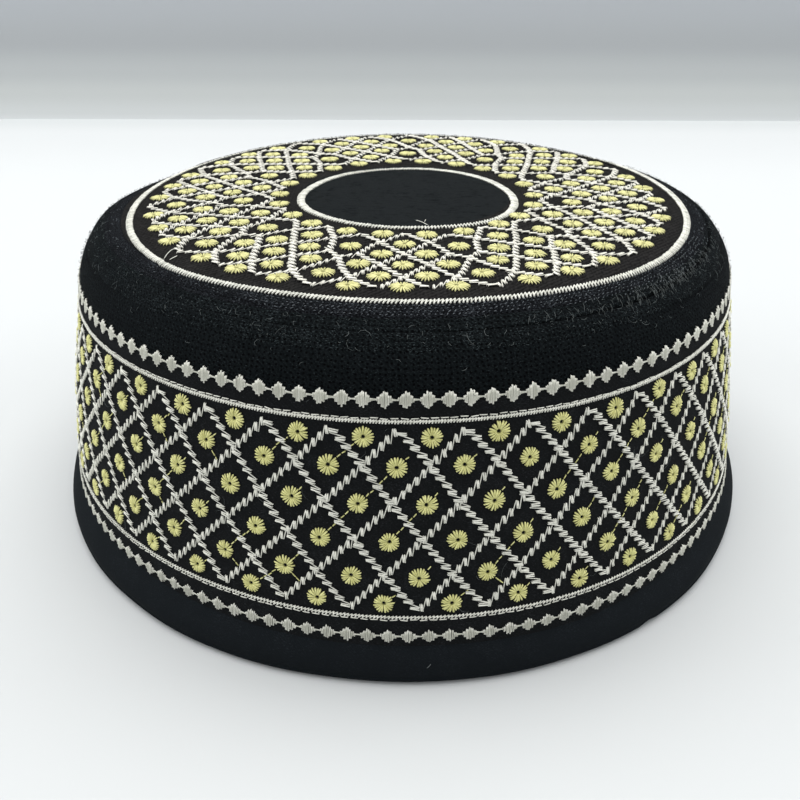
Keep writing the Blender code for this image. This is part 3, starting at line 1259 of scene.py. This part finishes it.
WALL_PETAL = (  # distance from the flower's middle, lift, width
    (0.00242, -0.00004, 0.0),
    (0.00231, 0.00014, 0.00039),
    (0.00168, 0.00030, 0.00049),
    (0.00066, 0.00025, 0.00026),
    (0.00024, -0.00012, 0.0),
)
CROWN_PETAL = (
    (0.00245, -0.00006, 0.0),
    (0.00228, 0.00020, 0.00032),
    (0.00168, 0.00032, 0.00043),
    (0.00066, 0.00034, 0.00027),
    (0.00010, 0.00022, 0.00012),
)
PADDING = (  # threads that run across under the crown's petals: distance from the middle, lift, width
    (-0.00172, -0.00006, 0.0),
    (-0.00146, 0.00000, 0.00050),
    (0.0, 0.00002, 0.00044),
    (0.00146, 0.00000, 0.00050),
    (0.00172, -0.00006, 0.0),
)
# How uneven the flowers and their petals are, as the spread of each measure
FLOWER_UNEVEN = {"place": 0.00012, "size": 0.025, "hole": 0.00010}
PETAL_UNEVEN = {"angle": 0.030, "reach": 0.040, "lean": 0.05, "lift": 0.00003, "width": 0.05}


def on_crown_chart(radius, degrees):
    """(turn, along) for a place on the crown's chart, which has its own middle."""
    angle = CROWN_START + np.radians(degrees)
    x = CROWN_MIDDLE[0] + radius * CROWN_SCALE * np.sin(angle)
    y = CROWN_MIDDLE[1] - radius * CROWN_SCALE * np.cos(angle)
    flat = np.hypot(x, y)
    turn = np.arctan2(x, -y)
    near = angle + angle_between(turn, angle)
    return near, np.where(flat < ARC_CENTRE, flat, bent_along(flat))


def flowers(name, places, petal, material, petals, size, padding=0):
    """Each flower is a ring of petals, one thread each, that dips in the middle.

    petal is a table of one petal's points, petals their number, and padding how many threads run
    across under them.
    """
    turn, along = np.array(places).T
    count = len(places)
    jog = FLOWER_UNEVEN["place"]
    turn, along = shift(turn, along, chance.normal(0.0, jog, count), chance.normal(0.0, jog, count))
    start = chance.random(count) * TAU
    scale = size * (1.0 + chance.normal(0.0, FLOWER_UNEVEN["size"], count))
    hole = chance.normal(0.0, FLOWER_UNEVEN["hole"], (2, count, 1, 1))
    path = np.array(petal)
    shape = (count, petals, len(path))
    rough = {key: (0.0, step, (count, petals, 1)) for key, step in PETAL_UNEVEN.items()}
    spokes = (np.arange(petals) * TAU / petals)[:, None]
    angle = start[:, None, None] + spokes + chance.normal(*rough["angle"])
    reach = chance.normal(*rough["reach"])
    far = path[:, 0] / path[0, 0]
    distance = path[:, 0] * scale[:, None, None] * (1.0 + reach * far)
    angle = angle + chance.normal(*rough["lean"]) * (1.0 - far)
    right = distance * np.sin(angle) + hole[0] * (1.0 - far)
    rise = distance * np.cos(angle) + hole[1] * (1.0 - far)
    around, down = shift(turn[:, None, None], along[:, None, None], right, rise)
    lift = np.broadcast_to(path[:, 1], shape) + chance.normal(*rough["lift"])
    wide = np.broadcast_to(path[:, 2], shape) * (1.0 + chance.normal(*rough["width"]))
    flat = (count * petals, len(path))
    rows = [[part.reshape(flat) for part in (around, down, lift, wide)]]
    if padding:
        under = np.array(PADDING)
        angle = start[:, None, None] + np.arange(padding)[:, None] * math.pi / padding
        reach = under[:, 0] * scale[:, None, None]
        right = reach * np.sin(angle)
        rise = reach * np.cos(angle)
        parts = (*shift(turn[:, None, None], along[:, None, None], right, rise), under[:, 1], under[:, 2])
        flat = (count * padding, len(under))
        shape = (count, padding, len(under))
        rows.append([np.broadcast_to(part, shape).reshape(flat) for part in parts])
    piece = make_threads(name, *join_rows(rows), material)
    return finish_piece(piece)


def on_wall_grid(column, row):
    """(turn, along) for a place in one of the wall's rows of flowers, counted in columns."""
    height, over, _ = WALL_FLOWER_ROWS[row]
    return (column + over) * TAU / WALL_COLUMNS, float(along_at(height))


def wall_flower_places():
    places = []
    for row, (_, _, half) in enumerate(WALL_FLOWER_ROWS):
        places += [on_wall_grid(column + half, row) for column in range(WALL_COLUMNS)]
    return places


def crown_flower_places():
    places = []
    for sector in range(CROWN_SECTORS):
        middle = sector * 360.0 / CROWN_SECTORS
        for radius, angles in CROWN_FLOWERS:
            for angle in angles:
                turn, along = on_crown_chart(radius, middle + angle)
                places.append((float(turn), float(along)))
    return places


# Lattice lines

# Each motif's stitches, in mm right and up from its middle, on a line that falls (or rises) to the right
FALLING_STEP = (1.20, -1.57)
FALLING_MOTIF = (  # the first stitch comes from the motif before
    (-2.20, 1.46, 1.05, 0.16),
    (1.06, 0.08, -1.05, 0.28),
    (-1.05, 0.12, 1.04, -0.32),
    (0.98, -0.42, -1.05, -0.10),
)
RISING_STEP = (1.27, 1.43)
RISING_MOTIF = (
    (-0.98, -2.31, -0.30, 0.92),
    (-0.28, 0.96, -0.06, -0.84),
    (-0.02, -0.88, 0.02, 0.94),
    (0.08, 0.95, 0.32, -0.90),
)
MOTIF_THREAD = 0.00031
WALL_OVER = (0.0, 0.00008)  # how much higher the rising and the falling lines lie than a single line
CROWN_OVER = (0.00006, 0.00014)
MOTIF_LIFTS = (0.00010, 0.00020, 0.00028, 0.00024)
MOTIF_UNEVEN = (0.05, 0.05, 0.045)  # each motif's turn and place, and each stitch's ends, in mm
LINK_THREAD = 0.85  # width of the stitch that links two motifs, as a share of the others

WALL_CROSSINGS = (0.0557, 0.0483, 0.0406, 0.0330, 0.0254, 0.0175)

# The crown's lines in one sector: radius and angle in degrees from the sector's middle
CROWN_LINES = (
    (
        (0.0328, 0.0), (0.0392, 8.1), (0.0439, 11.0), (0.0472, 12.3), (0.0506, 16.36), (0.0606, 22.3),
        (0.0657, 28.0),
    ),
    ((0.0346, -16.36), (0.0392, -8.1), (0.0464, 0.0), (0.0530, 5.6), (0.0606, 10.4), (0.0668, 16.36)),
    ((0.0472, -12.3), (0.0530, -5.6), (0.0600, 0.0), (0.0657, 4.3)),
)


def eased_line(points, steps=24):
    """A smooth curve through the points, as an array of points."""
    points = np.asarray(points, dtype=float)
    ends = np.vstack((2 * points[0] - points[1], points, 2 * points[-1] - points[-2]))
    curve = []
    for before, here, after, later in zip(ends, ends[1:], ends[2:], ends[3:]):
        for share in np.linspace(0.0, 1.0, steps, endpoint=False):
            square = share * share
            run = (after - before) * share
            bend = (2 * before - 5 * here + 4 * after - later) * square
            twist = (3 * here - before - 3 * after + later) * (square * share)
            curve.append(0.5 * (2 * here + run + bend + twist))
    curve.append(points[-1])
    return np.array(curve)


def motifs_on_line(line, motif, step):
    """The stitches of one line: a motif at each step, turned to the line's own direction.

    line is an array of (turn, along) from left to right.
    """
    radius = radius_at((line[1:, 1] + line[:-1, 1]) / 2)
    right = np.diff(line[:, 0]) * radius
    rise = -np.diff(line[:, 1])
    length = np.concatenate(([0.0], np.cumsum(np.hypot(right, rise))))
    pace = math.hypot(*step) * MM
    count = max(2, round(length[-1] / pace))
    places = (np.arange(count) + 0.5) * length[-1] / count
    turn = np.interp(places, length, line[:, 0])
    along = np.interp(places, length, line[:, 1])
    heading = np.interp(places, (length[1:] + length[:-1]) / 2, np.unwrap(np.arctan2(rise, right)))
    angle = heading - math.atan2(step[1], step[0]) + chance.normal(0.0, MOTIF_UNEVEN[0], count)
    rough = chance.normal(0.0, MOTIF_UNEVEN[1], (2, count))
    sides = chance.normal(0.0, MOTIF_UNEVEN[2], (len(motif), 4, count))
    rows = []
    cosine = np.cos(angle)
    sine = np.sin(angle)
    for number, (x0, y0, x1, y1) in enumerate(motif):
        jog = sides[number]
        first = 1 if number == 0 else 0
        pair = []
        for x, y in ((x0 + jog[0], y0 + jog[1]), (x1 + jog[2], y1 + jog[3])):
            across = (x + rough[0]) * cosine - (y + rough[1]) * sine
            up = (x + rough[0]) * sine + (y + rough[1]) * cosine
            pair.append(np.column_stack(shift(turn, along, across * MM, up * MM))[first:])
        lift = np.full(count - first, MOTIF_LIFTS[number])
        width = np.full(count - first, LINK_THREAD if number == 0 else 1.0)
        rows.append((*pair, lift, width))
    return join_rows(rows)


def lattice(name, lines, motif, step, over, material=WHITE_THREAD):
    """One piece of stitches along these lines. over is how much they are lifted beyond MOTIF_LIFTS."""
    rows = []
    for line in lines:
        starts, ends, lifts, widths = motifs_on_line(line, motif, step)
        rows.append(stitch_rows(starts, ends, lifts + over, MOTIF_THREAD * widths))
    piece = make_threads(name, *join_rows(rows), material)
    return finish_piece(piece)


def column_shift(height):
    heights, shifts, _ = zip(*reversed(WALL_FLOWER_ROWS))
    return np.interp(height, heights, shifts)


def wall_line(column, direction):
    points = []
    for number, height in enumerate(WALL_CROSSINGS):
        place = column + direction * number / 2 + column_shift(height)
        points.append((place * TAU / WALL_COLUMNS, float(along_at(height))))
    if direction < 0:
        points.reverse()
    return eased_line(points, 12)


def crown_line(points, middle, mirrored):
    side = -1.0 if mirrored else 1.0
    curve = eased_line([(radius, middle + side * angle) for radius, angle in points])
    turn, along = on_crown_chart(curve[:, 0], curve[:, 1])
    line = np.column_stack((np.unwrap(turn), along))
    return line[::-1] if mirrored else line


def wall_lattice():
    falling = [wall_line(column, 1) for column in range(WALL_COLUMNS)]
    rising = [wall_line(column, -1) for column in range(WALL_COLUMNS)]
    lattice("wall_rising_stitches", rising, RISING_MOTIF, RISING_STEP, WALL_OVER[0])
    lattice("wall_falling_stitches", falling, FALLING_MOTIF, FALLING_STEP, WALL_OVER[1])


def crown_net():
    falling = []
    rising = []
    for sector in range(CROWN_SECTORS):
        middle = sector * 360.0 / CROWN_SECTORS
        for points in CROWN_LINES:
            falling.append(crown_line(points, middle, False))
            rising.append(crown_line(points, middle, True))
    lattice("crown_rising_stitches", rising, RISING_MOTIF, RISING_STEP, CROWN_OVER[0], CROWN_WHITE)
    lattice("crown_falling_stitches", falling, FALLING_MOTIF, FALLING_STEP, CROWN_OVER[1], CROWN_WHITE)


# Quilting, jumps and hairs


QUILT_PACE = 0.00114
QUILT_STITCH = (0.14, 0.30)  # half a stitch's length, as a share of the pace
QUILT_UNEVEN = 0.00013
QUILT_SLANT = 0.0001
QUILT_LIFT = 0.00006
QUILT_THREAD = 0.00019
LIT_TURN = 0.30  # the side the light falls from, where most of these stitches are painted grey as a highlight
LIT_COSINE = (0.50, 0.92)
LIT_SHARE = (0.10, 0.80)  # share of stitches all round, and how many more on that side


def shoulder_quilting():
    """Rows of fine, short stitches on the shoulder beside the ring, in grey as painted highlights on black
    thread; most are kept on the side where the light falls.
    """
    rows = []
    for place, _ in quilt_places():
        if place > FINE_QUILTING:
            continue
        count = round(TAU * float(radius_at(place)) / QUILT_PACE)
        angles = np.arange(count) * TAU / count + chance.random() * TAU
        rough = chance.normal(0.0, QUILT_UNEVEN, (2, count))
        half = QUILT_PACE * chance.uniform(*QUILT_STITCH, count)
        along = np.full(count, place)
        starts = np.column_stack(shift(angles, along, -half, rough[0] - QUILT_SLANT))
        ends = np.column_stack(shift(angles, along, half, rough[1] + QUILT_SLANT))
        lit = LIT_SHARE[0] + LIT_SHARE[1] * smooth(np.cos(angles - LIT_TURN), *LIT_COSINE)
        keep = (chance.random(count) < lit) & (place < read_round(ROWS_END, angles) - QUILT_SLANT)
        rows.append(stitch_rows(starts[keep], ends[keep], QUILT_LIFT, QUILT_THREAD))
    return finish_piece(make_threads("shoulder_quilting", *join_rows(rows), GREY_THREAD))


HAIR_ARCH = 0.8  # how far over its arch a hair goes, and how full the arch is
HAIR_ROOT = 0.00005
HAIR_WIDTHS = ((0.0, 0.3, 0.6, 1.0), (0.6, 1.0, 1.0, 0.4))  # shares of its length, and of its width there


def hair_rows(turn, along, length, heading, height, width, curl=0.5, points=5):
    """Loose fibres that start in the cloth. curl is how far their heading changes, in radians."""
    count = len(turn)
    share = np.linspace(0.0, 1.0, points)
    bend = heading[:, None] + curl * chance.normal(0.0, 1.0, (count, 1)) * (share - 0.5)
    right = length[:, None] * share * np.cos(bend)
    rise = length[:, None] * share * np.sin(bend)
    around, down = shift(turn[:, None], along[:, None], right, rise)
    lift = height[:, None] * np.sin(share * math.pi * HAIR_ARCH) ** HAIR_ARCH
    lift[:, 0] = -HAIR_ROOT
    wide = np.broadcast_to(width, around.shape) * np.interp(share, *HAIR_WIDTHS)
    return around, down, lift, wide


FUZZ = (
    # count, middle and spread along the cloth, length, height, width, share at the right, share upright
    (190, 0.0785, 0.0009, 0.0016, 0.00030, 0.00007, 1.0, 1.0),
    (400, 0.0781, 0.0018, 0.0011, 0.00025, 0.00006, 0.15, 0.1),
    (150, 0.0800, 0.0026, 0.0010, 0.00025, 0.00006, 0.15, 0.0),
    (60, 0.0790, 0.0014, 0.0024, 0.00025, 0.00006, 0.15, 0.0),
    (90, 0.0900, 0.0120, 0.0010, 0.00020, 0.00005, 0.0, 0.0),
)
RIGHT_TURN = 0.78
RIGHT_SPREAD = 0.22
UPRIGHT_SPREAD = 0.30
UPRIGHT_CURL = 0.15
LOOSE_CURL = 1.1
FUZZ_LENGTHS = (0.4, 1.0)  # the least share of a fibre's length, and how much more it may be
FUZZ_HEIGHTS = (0.4, 1.2)


def seam_fuzz():
    """Fine grey fibres on the shoulder, most of all across its fold at the right."""
    sets = []
    for count, middle, spread, long, high, wide, side_share, up_share in FUZZ:
        side = chance.random(count) < side_share
        turn = np.where(side, chance.normal(RIGHT_TURN, RIGHT_SPREAD, count), chance.random(count) * TAU)
        along = middle + chance.normal(0.0, spread, count)
        length = long * (FUZZ_LENGTHS[0] + FUZZ_LENGTHS[1] * chance.random(count))
        upright = chance.random(count) < up_share
        up = chance.normal(math.pi / 2, UPRIGHT_SPREAD, count)
        heading = np.where(upright, up, chance.random(count) * TAU)
        height = high * (FUZZ_HEIGHTS[0] + FUZZ_HEIGHTS[1] * chance.random(count))
        curl = np.where(upright, UPRIGHT_CURL, LOOSE_CURL)[:, None]
        sets.append(hair_rows(turn, along, length, heading, height, wide, curl))
    return finish_piece(make_threads("seam_fuzz", *join_rows(sets), FIBRE_HAIR))


NAP_COUNT = 2600  # fibres on the shoulder
NAP_ALONG = (0.0732, 0.0900)
NAP_LENGTH = (0.0003, 0.0009)
NAP_HEIGHT = (0.00015, 0.00062)
NAP_WIDTH = 0.00009
EDGE_COUNT = 2200  # fibres on the crown's back edge
EDGE_ALONG = (0.0676, 0.0702)
EDGE_REACH = 1.1  # how far round from the back they go, in radians
EDGE_HEIGHT = (0.0002, 0.0007)


def nap():
    """Dark fibres that stand out of the shoulder and of the crown's back edge, and roughen the outline."""
    all_round = chance.random(NAP_COUNT) * TAU
    turn = np.concatenate((all_round, math.pi + chance.uniform(-EDGE_REACH, EDGE_REACH, EDGE_COUNT)))
    shoulder = chance.uniform(*NAP_ALONG, NAP_COUNT)
    along = np.concatenate((shoulder, chance.uniform(*EDGE_ALONG, EDGE_COUNT)))
    total = NAP_COUNT + EDGE_COUNT
    length = chance.uniform(*NAP_LENGTH, total)
    heading = chance.random(total) * TAU
    height = chance.uniform(*NAP_HEIGHT, total)
    height[NAP_COUNT:] = chance.uniform(*EDGE_HEIGHT, EDGE_COUNT)
    rows = hair_rows(turn, along, length, heading, height, NAP_WIDTH, points=4)
    return finish_piece(make_threads("shoulder_nap", *rows, BLACK_THREAD))


WALL_HAIRS = 110
WALL_HAIR_PLACE = (0.018, 0.052)  # lowest and highest
WALL_HAIR_LENGTH = (0.0015, 0.0055)
WALL_HAIR_HEADING = (-1.2, 0.7)
WALL_HAIR_LIFT = (0.0001, 0.0004)
WALL_HAIR_WIDTH = 0.00006
WALL_HAIR_CURL = 1.2


def wall_hairs():
    """Stray grey fibres between the flowers of the wall."""
    turn = chance.random(WALL_HAIRS) * TAU
    along = along_at(chance.uniform(*WALL_HAIR_PLACE, WALL_HAIRS))
    length = chance.uniform(*WALL_HAIR_LENGTH, WALL_HAIRS)
    heading = chance.normal(*WALL_HAIR_HEADING, WALL_HAIRS)
    height = chance.uniform(*WALL_HAIR_LIFT, WALL_HAIRS)
    rows = hair_rows(turn, along, length, heading, height, WALL_HAIR_WIDTH, WALL_HAIR_CURL)
    return finish_piece(make_threads("wall_hairs", *rows, FIBRE_HAIR))


LOOSE_ENDS = (  # turn in degrees, mm along the cloth and mm off it, for each point
    ((-47.5, 69.6, 0.1), (-49.3, 67.4, 0.4), (-50.6, 65.6, 0.4), (-51.7, 63.3, 0.2)),
    ((-46.5, 68.9, 0.2), (-46.8, 67.6, 0.3), (-47.2, 66.4, 0.3)),
    ((7.0, 22.1, 0.1), (9.4, 24.9, 0.5), (11.5, 28.3, 0.7)),
    ((11.2, 24.6, 0.4), (13.3, 22.3, 0.2)),
)
HEM_LINT = ((2.8, 147.5, 2.1), (3.0, 147.0, 2.3), (3.3, 146.4, 2.2))
STRAND_POINTS = 8


def loose_thread(name, strands, width, material):
    """Thread ends that lie loose, each a smooth curve through its points."""
    share = np.linspace(0.0, 1.0, STRAND_POINTS)
    rows = []
    for strand in strands:
        curve = eased_line(strand, STRAND_POINTS)
        whole = np.linspace(0.0, 1.0, len(curve))
        rows.append([np.interp(share, whole, column) for column in curve.T])
    turn, along, lift = np.stack(rows, axis=1)
    piece = make_threads(name, np.radians(turn), along * MM, lift * MM, width, material)
    return finish_piece(piece)


def loose_ends():
    """White thread ends that were left on the crown, and a bit of lint on the hem."""
    loose_thread("loose_thread_ends", LOOSE_ENDS, 0.00020, WHITE_THREAD)
    loose_thread("hem_lint", (HEM_LINT,), 0.00016, FIBRE_HAIR)


FLOWER_EDGE = 0.00225
JUMP_DASH = 0.00105
JUMP_SPREAD = (0.85, 0.3)  # a dash's least length and how much longer it may be, as shares of JUMP_DASH
JUMP_GAP = 0.00020
JUMP_TUCK = 0.0001  # how far each dash starts before its place
JUMP_LEAST = 0.0004
JUMP_SWAY = 0.00006
JUMP_LIFT = 0.00012
JUMP_THREAD = 0.00027
JUMPS_UP = ((0.22, 1.0), (0.50, 0.45), (0.80, 0.20))  # limits of a draw, and the way up below each
JUMP_DOWN = (0.16, 0.5)  # chance of a jump down, and how far it goes


def jump_dashes(start, end, share):
    """Dashes of thread from one flower's edge towards another's."""
    radius = float(radius_at((start[1] + end[1]) / 2))
    right = (end[0] - start[0]) * radius
    rise = start[1] - end[1]
    length = math.hypot(right, rise)
    way = (right / length, rise / length)
    place = FLOWER_EDGE
    stop = FLOWER_EDGE + (length - 2 * FLOWER_EDGE) * share
    pairs = []
    while place < stop - JUMP_LEAST:
        dash = JUMP_DASH * (JUMP_SPREAD[0] + JUMP_SPREAD[1] * chance.random())
        points = []
        for distance in (place - JUMP_TUCK, min(place + dash, stop)):
            sway = chance.normal(0.0, JUMP_SWAY)
            points.append(shift(start[0], start[1], way[0] * distance + sway, way[1] * distance - sway))
        pairs.append(points)
        place += dash + JUMP_GAP
    return pairs


def jump_threads():
    """The yellow thread's jumps from flower to flower, up or down to the right."""
    pairs = []
    last = len(WALL_FLOWER_ROWS) - 1
    for row, (_, _, half) in enumerate(WALL_FLOWER_ROWS):
        for column in range(WALL_COLUMNS):
            start = on_wall_grid(column + half, row)
            draw = chance.random()
            share = next((share for limit, share in JUMPS_UP if draw < limit), None)
            if row > 0 and share is not None:
                pairs += jump_dashes(start, on_wall_grid(column + half + 0.5, row - 1), share)
            if row < last and chance.random() < JUMP_DOWN[0]:
                pairs += jump_dashes(start, on_wall_grid(column + half + 0.5, row + 1), JUMP_DOWN[1])
    starts, ends = zip(*pairs)
    piece = make_threads("jump_threads", *stitch_rows(starts, ends, JUMP_LIFT, JUMP_THREAD), YELLOW_THREAD)
    return finish_piece(piece)


def build_cap():
    crown_cloth()
    wall_cloth()
    hem_cloth_band()
    crown_borders()
    wall_borders()
    diamond_border("upper_diamond_satin", UPPER_CHAIN, "upper_diamond_chain")
    diamond_border("lower_diamond_satin", LOWER_CHAIN, "lower_diamond_chain")
    flowers("wall_flowers", wall_flower_places(), WALL_PETAL, YELLOW_THREAD, petals=20, size=0.875)
    crown_places = crown_flower_places()
    flowers("crown_flowers", crown_places, CROWN_PETAL, CROWN_YELLOW, petals=21, size=1.05, padding=5)
    wall_lattice()
    crown_net()
    shoulder_quilting()
    seam_fuzz()
    nap()
    wall_hairs()
    loose_ends()
    jump_threads()


# Table, light and camera

FLOOR_END = 0.430
FLOOR_REACH = 3.0
BACKDROP_TOP = (0.9, 1.5)  # how far back and how high
STAGE_SHINE = 0.1
CAMERA_TARGET = (-0.00087, 0.0, 0.01234)
CAMERA_DISTANCE = 0.25503
CAMERA_ELEVATION = math.radians(30.207)
CAMERA_ROLL = math.radians(0.158)
CAMERA_LENS = 38.771
CAMERA_SENSOR = 36.0
CAMERA_NEAR = 0.01


def faded_material(name, axis, stops, roughness):
    """A plain finish whose colour changes with the place along one axis (0 to 2), in metres."""
    material = bpy.data.materials.new(name)
    material.use_nodes = True
    tree = material.node_tree
    shader = tree.nodes["Principled BSDF"]
    shader.inputs["Roughness"].default_value = roughness
    shader.inputs["Specular IOR Level"].default_value = STAGE_SHINE
    place = add_node(tree, "ShaderNodeTexCoord").outputs["Object"]
    part = add_node(tree, "ShaderNodeSeparateXYZ", {0: place}).outputs[axis]
    low = stops[0][0]
    high = stops[-1][0]
    limits = {"Value": part, "From Min": low, "From Max": high}
    share = add_node(tree, "ShaderNodeMapRange", limits).outputs[0]
    ramp = add_node(tree, "ShaderNodeValToRGB", {"Fac": share})
    ramp.color_ramp.interpolation = "EASE"
    points = ramp.color_ramp.elements
    for number, (at, colour) in enumerate(stops):
        point = points[number] if number < 2 else points.new(1.0)
        point.position = (at - low) / (high - low)
        point.color = (*colour, 1.0)
    tree.links.new(ramp.outputs["Color"], shader.inputs["Base Color"])
    return material


TABLE_TONES = (  # metres back from the cap's middle, colour
    (0.266, (0.588, 0.600, 0.596)),
    (0.383, (0.560, 0.572, 0.570)),
    (0.430, (0.500, 0.516, 0.515)),
)
WALL_TONES = (  # metres up; lighter near the table and darker upwards, darkest at about 0.05 m: painted light and shade on the backdrop
    (0.0000, (0.570, 0.588, 0.588)),
    (0.0040, (0.520, 0.538, 0.534)),
    (0.0173, (0.460, 0.478, 0.470)),
    (0.0314, (0.398, 0.415, 0.415)),
    (0.0505, (0.332, 0.347, 0.355)),
    (0.0763, (0.350, 0.367, 0.383)),
)


def stage_sheet(name, corners, material):
    mesh = bpy.data.meshes.new(name)
    mesh.from_pydata(corners, [], [(0, 1, 2, 3)])
    mesh.materials.append(material)
    sheet = bpy.data.objects.new(name, mesh)
    bpy.context.scene.collection.objects.link(sheet)
    sheet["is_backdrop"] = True
    return sheet


def table_and_wall():
    pale = faded_material("pale_table", 1, TABLE_TONES, 0.7)
    grey = faded_material("grey_wall", 2, WALL_TONES, 0.8)
    front = [(-FLOOR_REACH, -FLOOR_REACH, 0), (FLOOR_REACH, -FLOOR_REACH, 0)]
    corner = [(-FLOOR_REACH, FLOOR_END, 0), (FLOOR_REACH, FLOOR_END, 0)]
    top = [(FLOOR_REACH, *BACKDROP_TOP), (-FLOOR_REACH, *BACKDROP_TOP)]
    stage_sheet("table", front + corner[::-1], pale)
    stage_sheet("far_wall", corner + top, grey)


LIGHTS = (  # name, place, where it points, size, power, colour
    ("soft_top", (-0.02, 0.21, 1.15), (0.0, 0.0, 0.0), (1.3, 1.1), 14.5, (1.0, 1.0, 1.0)),
    ("soft_left", (-1.1, 0.15, 0.55), (0.0, 0.0, 0.05), (0.7, 0.7), 4.6, (0.97, 0.99, 1.0)),
    ("soft_right", (1.1, 0.3, 0.6), (0.0, 0.0, 0.05), (0.7, 0.7), 4.8, (0.97, 0.99, 1.0)),
)
ROOM_COLOUR = (0.95, 0.97, 1.0, 1.0)
ROOM_STRENGTH = 0.72


def lights():
    for name, place, aim, size, power, colour in LIGHTS:
        data = bpy.data.lights.new(name, "AREA")
        data.shape = "RECTANGLE"
        data.size, data.size_y = size
        data.energy = power
        data.color = colour
        light = bpy.data.objects.new(name, data)
        light.location = place
        light.rotation_euler = (Vector(aim) - Vector(place)).to_track_quat("-Z", "Y").to_euler()
        bpy.context.scene.collection.objects.link(light)


def room():
    world = bpy.data.worlds.new("room")
    world.use_nodes = True
    background = world.node_tree.nodes["Background"]
    background.inputs["Color"].default_value = ROOM_COLOUR
    background.inputs["Strength"].default_value = ROOM_STRENGTH
    bpy.context.scene.world = world


def camera():
    data = bpy.data.cameras.new("photo_camera")
    data.lens = CAMERA_LENS
    data.sensor_width = CAMERA_SENSOR
    data.clip_start = CAMERA_NEAR
    eye = bpy.data.objects.new("photo_camera", data)
    target = Vector(CAMERA_TARGET)
    back = Vector((0.0, -math.cos(CAMERA_ELEVATION), math.sin(CAMERA_ELEVATION)))
    place = target + back * CAMERA_DISTANCE
    look = (target - place).to_track_quat("-Z", "Y").to_matrix().to_4x4()
    eye.matrix_world = Matrix.Translation(place) @ look @ Matrix.Rotation(CAMERA_ROLL, 4, "Z")
    bpy.context.scene.collection.objects.link(eye)
    bpy.context.scene.camera = eye


def tone():
    view = bpy.context.scene.view_settings
    view.view_transform = "Standard"
    view.look = "None"
    view.exposure = 0.0


def write_sizes(first, last):
    def plain(box):
        return [[float(value) for value in corner] for corner in box]

    {"cad": plain(first), "visual": plain(last)}


build_cap()
table_and_wall()
lights()
room()
camera()
tone()
write_sizes(cad_box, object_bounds())
